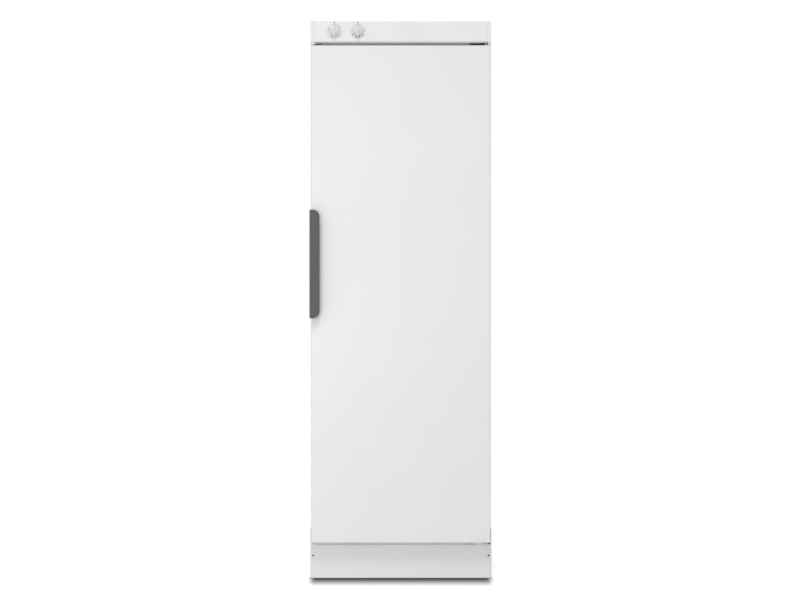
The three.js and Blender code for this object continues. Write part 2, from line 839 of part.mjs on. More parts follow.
// The lower pin is turned the same way, upside down: z = 0 is the underside of its plate.
function bottomHingePin() {
  const end = doorBottom + hingePinReach - (carcassBottom - seatGap - hingePlateThickness);
  return turned([
    [0, -seatGap - hingeHeadHeight],
    [hingePinHead - hingeHeadBevel, -seatGap - hingeHeadHeight],
    [hingePinHead, -seatGap],
    [hingePinRadius, -seatGap],
    [hingePinRadius, end - hingePinTip],
    [hingePinRadius - hingePinTip, end],
    [0, end],
  ], pinSides);
}

function buildHinges(cabinet) {
  const top = groupAt(cabinet, hingeX, hingeY, doorTop + hingePlateGap);
  const topTail = carcassFrontY + hingePlateTail;
  place(top, 'top_hinge_plate', hingePlate(topTail), 'darkSteel');
  place(top, 'top_hinge_pin', topHingePin(), 'zincSteel');
  const plateBottom = carcassBottom - seatGap - hingePlateThickness;
  const bottom = groupAt(cabinet, hingeX, hingeY, plateBottom);
  const bottomTail = carcassFrontY + sillFoot - bottomPlateEnd;
  place(bottom, 'bottom_hinge_plate', hingePlate(bottomTail), 'darkSteel');
  place(bottom, 'bottom_hinge_pin', bottomHingePin(), 'zincSteel');
}

// ---- Fascia and controls -----------------------------------------------------------------

// A channel that is open to the back, with rounded front edges and holes for the two shafts.
function controlFascia() {
  const r = fasciaEdgeRadius;
  const backY = carcassFrontY - seatGap;
  const path = [
    [backY, fasciaBottom],
    ...arcPoints(frontY + r, fasciaBottom + r, r, 270, 180, cornerSteps),
    ...arcPoints(frontY + r, cabinetHeight - r, r, 180, 90, cornerSteps),
    [backY, cabinetHeight],
  ];
  const channel = alongX(bentSheet(path, -fasciaWall), -fasciaHalfWidth, fasciaHalfWidth);
  const holes = [timerX, selectorX].map((x) => (
    cylinder(shaftRadius + fasciaHoleClearance, -fasciaWall - past, past, boreSides)
      .rotateX(Math.PI / 2)
      .translate(x, frontY, knobZ)
  ));
  return cut(channel, ...holes);
}

function fasciaEndCap(side) {
  const bottom = doorTop + endCapDoorGap;
  const top = cabinetHeight + endCapRise;
  const r = endCapRadius;
  const outline = roundedRectangle(frontY, bottom, carcassFrontY - seatGap, top, [r, 0, 0, r]);
  const innerX = halfWidth - endCapWidth;
  const [x0, x1] = side > 0 ? [innerX, halfWidth] : [-halfWidth, -innerX];
  return alongX(outline, x0, x1);
}

// The case of a door sensor: its back lies on the side panel's flange, above the door's edge.
function doorSensor() {
  const x0 = -halfWidth + sensorInset;
  const x1 = x0 + sensorWidth;
  const y0 = frontY + sensorSetback;
  const y1 = carcassFrontY - seatGap;
  const z0 = shelfZ + seatGap;
  const bevel = sensorHeight / 3;
  const outline = polygon([
    [y0, z0],
    [y1, z0],
    [y1, z0 + sensorHeight],
    [y0 + bevel, z0 + sensorHeight],
    [y0, z0 + sensorHeight - bevel],
  ]);
  return alongX(outline, x0, x1);
}

// The knob's axis is +Z here and its pointer is +Y.
function knob() {
  const top = knobSkirt + knobBodyHeight;
  const body = turned([
    [0, 0],
    [knobRadius, 0],
    [knobRadius, knobSkirt - knobSkirtBevel],
    [knobRadius - knobSkirtBevel, knobSkirt],
    [knobBodyRadius + knobFoot, knobSkirt],
    [knobBodyRadius, knobSkirt + knobFoot],
    [knobBodyRadius - knobTaper, top - knobCrown],
    [knobBodyRadius - knobTaper - knobCrown, top],
    [0, top],
  ], knobSides);
  const half = knobGripWidth / 2;
  const end = knobBodyRadius + knobGripReach;
  const grip = alongZ(polygon([
    [-half / 2, end],
    [-half, end - knobGripNose],
    [-half, -end + knobGripTail],
    [-half / 2, -end],
    [half / 2, -end],
    [half, -end + knobGripTail],
    [half, end - knobGripNose],
    [half / 2, end],
  ]), knobSkirt + knobSkirtBevel, top + knobGripRise);
  const bore = cylinder(shaftRadius + shaftClearance, -past, shaftGrip + seatGap, pinSides);
  return cut(join(body, grip), bore);
}

// A shaft along +Z with a flat, which starts behind the bracket and ends in the knob.
function controlShaft(reachBack) {
  const flatStart = fasciaWall + knobGap;
  const end = flatStart + shaftGrip;
  const round = cylinder(shaftRadius, -reachBack, end, pinSides);
  const flatY = shaftRadius - shaftFlat;
  const flat = block(-shaftRadius, shaftRadius, flatY, shaftRadius + past, flatStart, end + past);
  return cut(round, flat);
}

// The body of a timer or switch: a case with a rounded drum behind it, its neck and its tags.
function controlUnit([width, depth, height], tagCount) {
  const neck = cylinder(bushingRadius, -past, bracketSheet + seatGap, boreSides);
  const frontPlate = block(-width / 2, width / 2, -height / 2, height / 2, -controlPlateDepth, 0);
  const drum = cylinder(Math.min(width, height) / 2 - controlRim, -depth, -past, boreSides);
  const [tagThickness, tagLength, tagWidth] = terminalSize;
  const pitch = width / (tagCount + 2);
  const tags = [];
  for (let i = 0; i < tagCount; i += 1) {
    const x = (i - (tagCount - 1) / 2) * pitch - tagThickness / 2;
    const z0 = -depth - tagLength;
    tags.push(block(x, x + tagThickness, -tagWidth / 2, tagWidth / 2, z0, past - depth));
  }
  const boreEnd = bracketSheet + seatGap + past;
  const bore = cylinder(shaftRadius + shaftClearance, controlBoreEnd - depth, boreEnd, pinSides);
  return cut(join(frontPlate, drum, neck, ...tags), bore);
}

// A strip across the back of the fascia that both controls are screwed to.
function controlBracket() {
  const x0 = timerX - timerBody[0] / 2 - bracketMargin;
  const x1 = selectorX + selectorBody[0] / 2 + bracketMargin;
  const y0 = frontY + fasciaWall + seatGap;
  const z0 = fasciaBottom + fasciaWall + seatGap + bracketInset;
  const z1 = cabinetHeight - fasciaWall - seatGap - bracketInset;
  const strip = join(
    block(x0, x1, y0, y0 + bracketSheet, z0, z1),
    block(x0, x1, y0 + bracketSheet / 2, y0 + bracketFold, z0, z0 + bracketSheet),
  );
  const holes = [timerX, selectorX].map((x) => (
    cylinder(bushingRadius + seatGap, -bracketSheet - past, past, boreSides)
      .rotateX(Math.PI / 2)
      .translate(x, y0, knobZ)
  ));
  return cut(strip, ...holes);
}

// A control along the -Y axis: unit behind the bracket, shaft through the fascia, knob outside.
function buildControl(cabinet, name, x, body, tagCount) {
  const unitY = frontY + fasciaWall + 2 * seatGap + bracketSheet;
  const control = groupAt(cabinet, x, 0, knobZ);
  control.rotation.x = Math.PI / 2;
  const front = -frontY;
  place(control, `${name}_unit`, controlUnit(body, tagCount), 'darkPlastic', [0, 0, -unitY]);
  const shaft = controlShaft(body[1] - controlBoreEnd - past + 2 * seatGap + bracketSheet);
  place(control, `${name}_shaft`, shaft, 'zincSteel', [0, 0, front - fasciaWall]);
  place(control, `${name}_knob`, knob(), 'knobPlastic', [0, 0, front + knobGap]);
}

function buildFascia(cabinet) {
  place(cabinet, 'control_fascia', controlFascia(), 'whitePlastic');
  place(cabinet, 'fascia_end_cap_left', fasciaEndCap(-1), 'whitePlastic');
  place(cabinet, 'fascia_end_cap_right', fasciaEndCap(1), 'whitePlastic');
  place(cabinet, 'door_sensor', doorSensor(), 'darkPlastic');
  place(cabinet, 'control_bracket', controlBracket(), 'zincSteel');
  buildControl(cabinet, 'timer', timerX, timerBody, 4);
  buildControl(cabinet, 'selector', selectorX, selectorBody, 3);
}

// ---- Hanging racks -----------------------------------------------------------------------

// A hat-section post: its feet lie on the side panel, its web carries pivots and stop tabs.
function rackPost(side) {
  const webX = postWebX;
  const rearY = postFrontY + postWeb;
  const path = [
    [insideX, rearY + postFoot],
    [insideX, rearY],
    [webX, rearY],
    [webX, postFrontY],
    [insideX, postFrontY],
    [insideX, postFrontY - postFoot],
  ];
  const section = bentSheet(path.map(([x, y]) => [side * x, y]), -side * sheet);
  const bottom = floorZ + floorRim + postEndGap;
  const post = alongZ(section, bottom, ceilingHeight - postEndGap);
  const tabs = Object.values(rackLevels).map((level) => {
    const top = level - rackSideRadius - seatGap;
    const [x0, x1] = side > 0 ? [webX - tabReach, webX + sheet / 2] : [-webX - sheet / 2, -webX + tabReach];
    const y0 = postFrontY + tabInset;
    return block(x0, x1, y0, y0 + tabWidth, top - tabThickness, top);
  });
  const pivots = Object.values(rackLevels).map((level) => (
    cylinder(rackWireRadius + seatGap, -sheet - past, sheet + past, pinSides)
      .rotateY(Math.PI / 2)
      .translate(side * webX, pivotY, level)
  ));
  return cut(join(post, ...tabs), ...pivots);
}

// A wire rack in its own frame: the pivot wire lies on the X axis, the rods point to -Y.
function hangingRack() {
  const pinEnd = postWebX + postStand / 2;
  const bendY = -rackDepth + rackFrontBend;
  const rodPath = (x) => [[x, 0, 0], [x, bendY, 0], [x, -rackDepth, rackFrontRise]];
  const crossWire = (end, y, z) => wire([[-end, y, z], [end, y, z]], rackWireRadius, wireSides);
  const pieces = [crossWire(pinEnd, 0, 0), crossWire(rackSideX, -rackDepth, rackFrontRise)];
  for (const x of [-rackSideX, rackSideX]) {
    pieces.push(wire(rodPath(x), rackSideRadius, wireSides, rackBendReach));
  }
  for (let i = 1; i <= rackRodCount; i += 1) {
    const x = -rackSideX + (2 * rackSideX * i) / (rackRodCount + 1);
    pieces.push(wire(rodPath(x), rackRodRadius, rodSides, rackBendReach));
  }
  return join(...pieces);
}

function buildRacks(cabinet) {
  place(cabinet, 'rack_post_left', rackPost(-1), 'wireWhite');
  place(cabinet, 'rack_post_right', rackPost(1), 'wireWhite');
  for (const [name, level] of Object.entries(rackLevels)) {
    const rack = groupAt(cabinet, 0, pivotY, level);
    place(rack, `rack_${name}`, hangingRack(), 'wireWhite');
  }
}

// ---- Blower, heater and air ways ---------------------------------------------------------

// The scroll's outline, grown by a wall: spiral from the outlet round to the tongue, then down.
function scrollOutline(wall, drop) {
  const points = [];
  for (let i = 0; i <= scrollSteps; i += 1) {
    const turn = i / scrollSteps;
    const angle = THREE.MathUtils.degToRad(scrollTongueAngle * turn);
    const radius = scrollEnd - scrollGrowth * turn + wall;
    points.push([radius * Math.cos(angle), radius * Math.sin(angle)]);
  }
  points.push([tongueY - wall, points[scrollSteps][1]]);
  points.push([tongueY - wall, -drop]);
  points.push([scrollEnd + wall, -drop]);
  return polygon(points);
}

function fanHousing() {
  const half = scrollWidth / 2;
  const shell = alongX(scrollOutline(scrollWall, scrollDrop), -half, half);
  const room = alongX(scrollOutline(0, scrollDrop + past), -half + scrollWall, half + past);
  const holeRadius = fanShaftRadius + fanShaftClearance;
  const shaftHole = cylinder(holeRadius, -half - past, -half + scrollWall + past, boreSides);
  return cut(shell, room, shaftHole.rotateY(Math.PI / 2));
}

function fanInletPlate() {
  const half = scrollWidth / 2 + seatGap;
  const plate = alongX(scrollOutline(scrollWall, scrollDrop), half, half + scrollWall);
  const bell = turned([
    [inletRadius, 0],
    [inletRadius + scrollWall, 0],
    [inletRadius + scrollWall + inletCurl, inletLip - inletCurl],
    [inletRadius + inletFlare + scrollWall, inletLip],
    [inletRadius + inletFlare, inletLip],
    [inletRadius + inletCurl, inletLip - inletCurl],
    [inletRadius, 0],
  ], turnedSides).rotateY(Math.PI / 2).translate(half, 0, 0);
  const mouth = cylinder(inletRadius, -past, scrollWall + past, turnedSides)
    .rotateY(Math.PI / 2)
    .translate(half, 0, 0);
  return join(cut(plate, mouth), bell);
}

// One forward-curved blade, drawn across the wheel's axis and placed at its own angle.
function blade(index, z0, z1) {
  const root = impellerRadius - bladeDepth;
  const camber = [];
  for (let i = 0; i <= bladeSteps; i += 1) {
    const along = i / bladeSteps;
    const radius = root + (bladeDepth - bladeTipInset) * along;
    const angle = THREE.MathUtils.degToRad(bladeSweep * along * along);
    camber.push([radius * Math.cos(angle), radius * Math.sin(angle)]);
  }
  const turn = (2 * Math.PI * index) / bladeCount;
  return alongZ(bentSheet(camber, bladeThickness), z0, z1).rotateZ(turn);
}

// A blower wheel about +Z: a back plate on a hub, a ring of blades and a rim that ties them.
function fanImpeller() {
  const root = impellerRadius - bladeDepth;
  const blades = [];
  for (let i = 0; i < bladeCount; i += 1) {
    blades.push(blade(i, impellerPlate / 2, impellerWidth - impellerPlate / 2));
  }
  const backPlate = cylinder(impellerRadius, 0, impellerPlate, wheelSides);
  const rimStart = impellerWidth - 2 * impellerPlate;
  const rim = ring(root + rimInset, impellerRadius + rimReach, rimStart, impellerWidth, wheelSides);
  const hub = cylinder(hubRadius, impellerPlate / 2, hubLength, boreSides);
  const shaftStart = -scrollSideGap - seatGap - fanShaftReach;
  const shaft = cylinder(fanShaftRadius, shaftStart, fanShaftLength, pinSides);
  return join(backPlate, rim, hub, shaft, ...blades);
}

// A motor about -X on the scroll's closed side, with its end bell, its flange and its bore.
function fanMotor() {
  const face = scrollWidth / 2 + seatGap;
  const body = turned([
    [0, 0],
    [motorRadius + motorFlange, 0],
    [motorRadius + motorFlange, motorFlangeSheet],
    [motorRadius, motorFlangeSheet],
    [motorRadius, motorLength - motorBell],
    [motorRadius - motorBellTaper, motorLength],
    [motorBoss, motorLength],
    [motorBoss, motorLength + motorBossRise],
    [0, motorLength + motorBossRise],
  ], turnedSides);
  const bore = cylinder(fanShaftRadius + seatGap, -past, fanShaftReach + past, pinSides);
  return cut(body, bore).rotateY(-Math.PI / 2).translate(-face, 0, 0);
}

// The duct between the scroll and the ceiling, on a flange, with holes for the heating rod.
function heaterFrame() {
  const half = scrollWidth / 2;
  const y0 = tongueY - scrollWall;
  const y1 = scrollEnd + scrollWall;
  const outer = block(-half, half, y0, y1, 0, heaterHeight);
  const flange = block(
    -half - heaterFlange,
    half + heaterFlange,
    y0 - heaterFlange,
    y1 + heaterFlange,
    0,
    heaterWall,
  );
  const way = block(
    -half + scrollWall,
    half - scrollWall,
    tongueY,
    scrollEnd,
    -past,
    heaterHeight + past,
  );
  const holes = heaterRodEnds().map((y) => (
    cylinder(heaterRodRadius + seatGap, -scrollWall - past, past, pinSides)
      .rotateY(Math.PI / 2)
      .translate(half, y, heaterHeight / 2)
  ));
  return cut(join(outer, flange), way, ...holes);
}

function heaterPitch() {
  return (scrollEnd - tongueY - 2 * heaterRodRadius - 2 * heaterRodMargin) / (heaterPasses - 1);
}

function heaterRodEnds() {
  const first = tongueY + heaterRodRadius + heaterRodMargin;
  return [first, first + heaterPitch() * (heaterPasses - 1)];
}

// A heating rod that runs to and fro across the duct; both ends leave through the frame's side.
function heaterElement() {
  const pitch = heaterPitch();
  const bend = pitch / 2;
  const reach = scrollWidth / 2 - scrollWall - heaterRodRadius - heaterEndMargin - bend;
  const [firstY] = heaterRodEnds();
  const tailX = scrollWidth / 2 + heaterTail;
  const points = [new THREE.Vector3(tailX, firstY, 0)];
  for (let pass = 0; pass < heaterPasses - 1; pass += 1) {
    const y = firstY + pitch * pass;
    const side = pass % 2 ? 1 : -1;
    for (let i = 0; i <= heaterBendSteps; i += 1) {
      const angle = (Math.PI * i) / heaterBendSteps;
      const x = side * (reach + bend * Math.sin(angle));
      points.push(new THREE.Vector3(x, y + bend * (1 - Math.cos(angle)), 0));
    }
  }
  points.push(new THREE.Vector3(tailX, firstY + pitch * (heaterPasses - 1), 0));
  return tubeAlong(points, heaterRodRadius, wireSides);
}

// A snap-disc thermostat about +Z with two tags.
function thermostat() {
  const disc = turned([
    [0, 0],
    [thermostatRadius + thermostatFlange, 0],
    [thermostatRadius + thermostatFlange, thermostatFlangeSheet],
    [thermostatRadius, thermostatFlangeSheet],
    [thermostatRadius, thermostatHeight],
    [0, thermostatHeight],
  ], pinSides);
  const [tagThickness, tagLength, tagWidth] = terminalSize;
  const tags = [-1, 1].map((side) => block(
    (side * thermostatTagPitch - tagThickness) / 2,
    (side * thermostatTagPitch + tagThickness) / 2,
    -tagWidth / 2,
    tagWidth / 2,
    thermostatHeight - past,
    thermostatHeight + tagLength,
  ));
  return join(disc, ...tags);
}

// A framed grille under the ceiling whose slanted louvres spread the warm air.
function airGrille() {
  const halfX = scrollWidth / 2 - scrollWall + grilleMargin;
  const midY = (tongueY + scrollEnd) / 2;
  const halfY = (scrollEnd - tongueY) / 2 + grilleMargin;
  const openX = halfX - grilleMargin;
  const openY = halfY - grilleMargin;
  const wall = louvreThickness;
  const frame = cut(
    join(
      block(-halfX, halfX, -halfY, halfY, -grilleFrame, 0),
      block(-openX - wall, openX + wall, -openY - wall, openY + wall, -grilleDepth, -grilleFrame / 2),
    ),
    block(-openX, openX, -openY, openY, -grilleDepth - past, past),
  );
  const slant = THREE.MathUtils.degToRad(louvreAngle);
  const louvres = [];
  for (let i = 0; i < louvreCount; i += 1) {
    const y = -openY + (2 * openY * (i + 0.5)) / louvreCount;
    const slat = block(
      -openX - wall / 2,
      openX + wall / 2,
      -wall / 2,
      wall / 2,
      -grilleDepth / 2 / Math.cos(slant),
      grilleDepth / 2 / Math.cos(slant),
    );
    louvres.push(slat.rotateX(slant).translate(0, y, -grilleDepth / 2));
  }
  const slatBand = block(-halfX, halfX, -halfY, halfY, slatInset - grilleDepth, -slatInset);
  const slats = louvres.map((slat) => overlapOf(slat, slatBand));
  return join(frame, ...slats).translate(0, midY, 0);
}

function exhaustDuct() {
  const top = underLidZ;
  const bottom = ceilingTop + seatGap;
  const inner = exhaustRadius - exhaustWall;
  return turned([
    [inner, bottom],
    [exhaustRadius + exhaustFlange, bottom],
    [exhaustRadius + exhaustFlange, bottom + exhaustFlangeSheet],
    [exhaustRadius, bottom + exhaustFlangeSheet],
    [exhaustRadius, top],
    [inner, top],
    [inner, bottom],
  ], turnedSides);
}

function exhaustCollar() {
  const inner = exhaustRadius - exhaustWall;
  const top = exhaustCollarHeight;
  return turned([
    [inner, 0],
    [exhaustRadius + exhaustFlange, 0],
    [exhaustRadius + exhaustFlange, exhaustFlangeSheet],
    [exhaustRadius, exhaustFlangeSheet],
    [exhaustRadius, top],
    [inner, top],
    [inner, 0],
  ], ductSides);
}

function buildAirSystem(cabinet) {
  const blower = groupAt(cabinet, blowerX, blowerY, blowerZ);
  place(blower, 'fan_housing', fanHousing(), 'zincSteel');
  place(blower, 'fan_inlet_plate', fanInletPlate(), 'zincSteel');
  place(blower, 'fan_motor', fanMotor(), 'darkSteel');
  const wheelStart = -scrollWidth / 2 + scrollSideGap;
  const wheel = place(blower, 'fan_impeller', fanImpeller(), 'zincSteel', [wheelStart, 0, 0]);
  wheel.rotation.y = Math.PI / 2;

  const heater = groupAt(cabinet, blowerX, blowerY, ceilingTop + seatGap);
  place(heater, 'heater_frame', heaterFrame(), 'zincSteel');
  place(heater, 'heater_element', heaterElement(), 'heaterSteel', [0, 0, heaterHeight / 2]);
  const thermostatY = scrollEnd + scrollWall + seatGap;
  const disc = place(heater, 'thermostat', thermostat(), 'darkPlastic', [0, thermostatY, heaterHeight / 2]);
  disc.rotation.x = -Math.PI / 2;

  place(cabinet, 'air_grille', airGrille(), 'whitePlastic', [blowerX, blowerY, ceilingHeight - seatGap]);
  place(cabinet, 'exhaust_duct', exhaustDuct(), 'zincSteel', [exhaustX, exhaustY, 0]);
  const collarZ = cabinetHeight + seatGap;
  place(cabinet, 'exhaust_collar', exhaustCollar(), 'zincSteel', [exhaustX, exhaustY, collarZ]);
}

// ---- Door, in its own frame: y = 0 at its front, z = 0 at its bottom ----------------------

function doorSkin() {
  const r = doorEdgeRadius;
  const path = [
    [-doorHalf + doorLip, doorThickness],
    [-doorHalf, doorThickness],
    ...arcPoints(-doorHalf + r, r, r, 180, 270, cornerSteps),
    ...arcPoints(doorHalf - r, r, r, 270, 360, cornerSteps),
    [doorHalf, doorThickness],
    [doorHalf - doorLip, doorThickness],
  ];
  const z0 = doorCapPlate + seatGap;
  return alongZ(bentSheet(path, sheet), z0, doorHeight - z0);
}

// An end cap that points down: z = 0 is its outer face. It has a bored seat for the hinge bush.
function doorCap() {
  const r = doorEdgeRadius;
  const plate = alongZ(
    roundedRectangle(-doorHalf, 0, doorHalf, doorThickness, [r, r, 0, 0]),
    -doorCapPlate,
    0,
  );
  const plugX = doorHalf - sheet - seatGap;
  const backX = doorHalf - doorLip - seatGap;
  const inset = sheet + seatGap;
  const plugZ0 = -capReach;
  const plugTop = -doorCapPlate / 2;
  const plug = block(-plugX + r, plugX - r, inset, doorThickness - inset, plugZ0, plugTop);
  const backing = block(-backX, backX, inset, doorThickness, plugZ0, plugTop);
  const seatRadius = hingePinRadius + hingeClearance + bushWall + seatGap;
  const seat = cylinder(seatRadius, -capReach - past, past, boreSides);
  return cut(join(plate, plug, backing), seat.translate(hingeX, hingeSetback, 0));
}

// A flanged bush that points down into an end cap: z = 0 is the cap's outer face.
function hingeBush(flange) {
  const inner = hingePinRadius + hingeClearance;
  const outer = inner + bushWall;
  return turned([
    [inner, -hingePinReach],
    [outer, -hingePinReach],
    [outer, seatGap],
    [outer + bushFlangeReach, seatGap],
    [outer + bushFlangeReach, seatGap + flange],
    [inner, seatGap + flange],
    [inner, -hingePinReach],
  ], pinSides);
}

// A flat border behind the skin's returns, with a raised, hollow field between them.
function doorLiner() {
  const t = linerSheet;
  const y1 = doorThickness - sheet - seatGap;
  const y0 = y1 - t;
  const z0 = capReach + seatGap;
  const z1 = doorHeight - capReach - seatGap;
  const plateX = doorHalf - sheet - seatGap;
  const fieldX = doorHalf - doorLip - seatGap;
  const fieldY = doorThickness + linerRise;
  const field = (inset) => roundedRectangle(
    -fieldX + inset,
    z0 + linerEndBorder + inset,
    fieldX - inset,
    z1 - linerEndBorder - inset,
    new Array(4).fill(linerCornerRadius - inset),
  );
  const body = join(
    block(-plateX, plateX, y0, y1, z0, z1),
    alongY(field(0), y0 + t / 2, fieldY),
  );
  return cut(body, alongY(field(t), y0 - past, fieldY - t));
}

// A hat-section channel up the middle of the door, between its skin and its liner.
function doorStiffener() {
  const half = stiffenerWidth / 2;
  const y0 = sheet + seatGap;
  const y1 = doorThickness + linerRise - linerSheet - seatGap - sheet;
  const path = [
    [-half - stiffenerFoot, y0],
    [-half, y0],
    [-half, y1],
    [half, y1],
    [half, y0],
    [half + stiffenerFoot, y0],
  ];
  const end = capReach + linerEndBorder + linerSheet + 2 * seatGap;
  return alongZ(bentSheet(path, sheet), end, doorHeight - end);
}

// The seal: a frame with a bead along its middle, which meets the carcass.
function doorGasket() {
  const frame = (inset, width) => {
    const shape = polygon([
      [-doorHalf + inset, inset],
      [doorHalf - inset, inset],
      [doorHalf - inset, doorHeight - inset],
      [-doorHalf + inset, doorHeight - inset],
    ]);
    const far = inset + width;
    shape.holes.push(new THREE.Path([
      new THREE.Vector2(-doorHalf + far, far),
      new THREE.Vector2(-doorHalf + far, doorHeight - far),
      new THREE.Vector2(doorHalf - far, doorHeight - far),
      new THREE.Vector2(doorHalf - far, far),
    ]));
    return shape;
  };
  const y0 = doorThickness + seatGap;
  const beadInset = gasketInset + gasketShoulder;
  const beadWidth = gasketWidth - 2 * gasketShoulder;
  const base = alongY(frame(gasketInset, gasketWidth), y0, y0 + gasketBase);
  const bead = alongY(frame(beadInset, beadWidth), y0 + gasketBase / 2, y0 + gasketThickness);
  return join(base, bead);
}

// A hook-shaped grip: one leg lies on the edge of the door, the other stands off its front.
function handle() {
  const outerX = -doorHalf - handleSide;
  const r = handleEdgeRadius;
  const z0 = handleBottom - doorBottom;
  const z1 = z0 + handleLength;
  const tipX = outerX + handleWidth;
  const innerX = -doorHalf - seatGap;
  const innerY = -handleProud + handleWall;
  const lip = handleLipRadius;
  const section = polygon([
    [outerX, handleLeg],
    ...arcPoints(outerX + r, -handleProud + r, r, 180, 270, cornerSteps),
    ...arcPoints(tipX - lip, -handleProud + lip, lip, 270, 360, cornerSteps),
    ...arcPoints(tipX - lip, innerY - lip, lip, 0, 90, cornerSteps),
    ...arcPoints(innerX + r, innerY + r, r, 270, 180, cornerSteps),
    [innerX, handleLeg],
  ]);
  const hook = alongZ(section, z0, z1);
  const c = handleCornerRadius;
  const front = roundedRectangle(outerX, z0, tipX, z1, [0, c, c, 0]);
  const side = roundedRectangle(-handleProud, z0, handleLeg, z1, [0, c, c, 0]);
  return overlapOf(
    hook,
    alongY(front, -handleProud - past, handleLeg + past),
    alongX(side, outerX - past, tipX + past),
  );
}

// Loops that hold gloves open, on two rails whose ends are bent back to the liner.
function gloveRack() {
  const lowZ = gloveRackZ - doorBottom;
  const kneeZ = lowZ + gloveRailPitch;
  const linerY = doorThickness + linerRise + seatGap;
  const railY = linerY + gloveRailStand;
  const half = gloveRackWidth / 2;
  const rail = (z) => wire(
    [[-half, linerY, z], [-half, railY, z], [half, railY, z], [half, linerY, z]],
    gloveRailRadius,
    wireSides,
    gloveRailStand / 2,
  );
  const w = gloveLoopWidth / 2;
  const topY = railY + gloveLoopLean;
  const topZ = lowZ + gloveLoopHeight;
  const loop = (x) => wire(
    [
      [x - w, railY, lowZ],
      [x - w, railY, kneeZ],
      [x - w, topY, topZ],
      [x + w, topY, topZ],
      [x + w, railY, kneeZ],
      [x + w, railY, lowZ],
    ],
    gloveLoopRadius,
    rodSides,
    gloveLoopBend,
  );
  const pitch = (gloveRackWidth - 2 * gloveEndSpace) / (gloveLoopCount - 1);
  const loops = [];
  for (let i = 0; i < gloveLoopCount; i += 1) {
    loops.push(loop((i - (gloveLoopCount - 1) / 2) * pitch));
  }
  return join(rail(lowZ), rail(kneeZ), ...loops);
}

function buildDoor(cabinet) {
  const door = groupAt(cabinet, 0, frontY, doorBottom);
  place(door, 'door_skin', doorSkin(), 'whiteEnamel');
  place(door, 'door_liner', doorLiner(), 'whitePlastic');
  place(door, 'door_stiffener', doorStiffener(), 'zincSteel');
  place(door, 'door_gasket', doorGasket(), 'gasketRubber');
  place(door, 'door_cap_top', doorCap(), 'whitePlastic', [0, 0, doorHeight]);
  place(door, 'hinge_bush_top', hingeBush(bushFlange), 'knobPlastic', [hingeX, hingeSetback, doorHeight]);
  const lowerCap = doorCap().scale(1, 1, -1);
  place(door, 'door_cap_bottom', lowerCap, 'whitePlastic');
  const lowerFlange = doorBottom - carcassBottom - seatGap;
  const lowerBush = hingeBush(lowerFlange).scale(1, 1, -1);
  place(door, 'hinge_bush_bottom', lowerBush, 'knobPlastic', [hingeX, hingeSetback, 0]);
  place(door, 'handle', handle(), 'greyPlastic');
  place(door, 'glove_rack', gloveRack(), 'wireWhite');
}

// ---- Assembly ----------------------------------------------------------------------------

const dryingCabinet = new THREE.Group();
buildCarcass(dryingCabinet);
buildPlinth(dryingCabinet);
buildHinges(dryingCabinet);
buildFascia(dryingCabinet);
buildRacks(dryingCabinet);
buildAirSystem(dryingCabinet);
buildDoor(dryingCabinet);

export default dryingCabinet;
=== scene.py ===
# %% [markdown]
# # A drying cabinet
# The real object is a tall case of enamelled steel on a plinth, with one door and a strip of
# controls above it. Its solid parts are loaded first and never move. After that, each step gives
# some of them their real finish, or puts a finer piece in the place of a plain one.

# %% The solid parts
import contextlib
import math

import bmesh
import bpy
from mathutils import Matrix, Vector


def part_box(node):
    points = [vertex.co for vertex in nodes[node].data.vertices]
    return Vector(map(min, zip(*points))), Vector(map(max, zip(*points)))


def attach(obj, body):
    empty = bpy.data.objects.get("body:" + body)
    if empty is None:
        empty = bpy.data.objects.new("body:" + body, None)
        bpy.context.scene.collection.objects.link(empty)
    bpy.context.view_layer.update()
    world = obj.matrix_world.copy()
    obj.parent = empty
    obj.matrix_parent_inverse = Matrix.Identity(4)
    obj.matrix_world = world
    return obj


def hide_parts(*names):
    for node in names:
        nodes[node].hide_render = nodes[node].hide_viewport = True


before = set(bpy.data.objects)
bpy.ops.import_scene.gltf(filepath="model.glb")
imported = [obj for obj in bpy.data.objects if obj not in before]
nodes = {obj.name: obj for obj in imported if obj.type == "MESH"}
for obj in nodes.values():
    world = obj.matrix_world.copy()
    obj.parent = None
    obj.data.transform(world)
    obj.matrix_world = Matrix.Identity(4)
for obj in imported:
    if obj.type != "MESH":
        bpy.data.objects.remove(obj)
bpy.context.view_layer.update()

# %% [markdown]
# ## Choosing and editing
# Blender's operators act on whatever is selected, and the loaded parts come in selected. So these
# helpers clear the selection before they choose one piece, open it in edit mode, and close it
# again.

# %% Selection helpers
def choose(*pieces):
    """Selects these objects and nothing else; the first one is the active one."""
    bpy.ops.object.select_all(action="DESELECT")
    for piece in pieces:
        piece.select_set(True)
    if pieces:
        bpy.context.view_layer.objects.active = pieces[0]


@contextlib.contextmanager
def editing(piece):
    """Edit mode on one piece, for as long as the block lasts."""
    choose(piece)
    bpy.ops.object.mode_set(mode="EDIT")
    bpy.ops.mesh.select_mode(type="VERT")
    bpy.ops.mesh.select_all(action="SELECT")
    yield
    bpy.ops.object.mode_set(mode="OBJECT")


def pick(piece, kind, test):
    """In edit mode, selects only the faces, edges or vertices that pass the test."""
    bpy.ops.mesh.select_mode(type=kind)
    bpy.ops.mesh.select_all(action="DESELECT")
    grid = bmesh.from_edit_mesh(piece.data)
    parts = {"VERT": grid.verts, "EDGE": grid.edges, "FACE": grid.faces}[kind]
    for part in [p for p in parts if test(p)]:
        part.select_set(True)
    bmesh.update_edit_mesh(piece.data)


def pull(step):
    """In edit mode, extrudes what is selected by this step."""
    bpy.ops.mesh.extrude_region_move(TRANSFORM_OT_translate={"value": step})


def round_off(piece, radius, steps, test):
    """In edit mode, bevels the edges that pass the test."""
    pick(piece, "EDGE", test)
    bpy.ops.mesh.bevel(offset=radius, segments=steps)


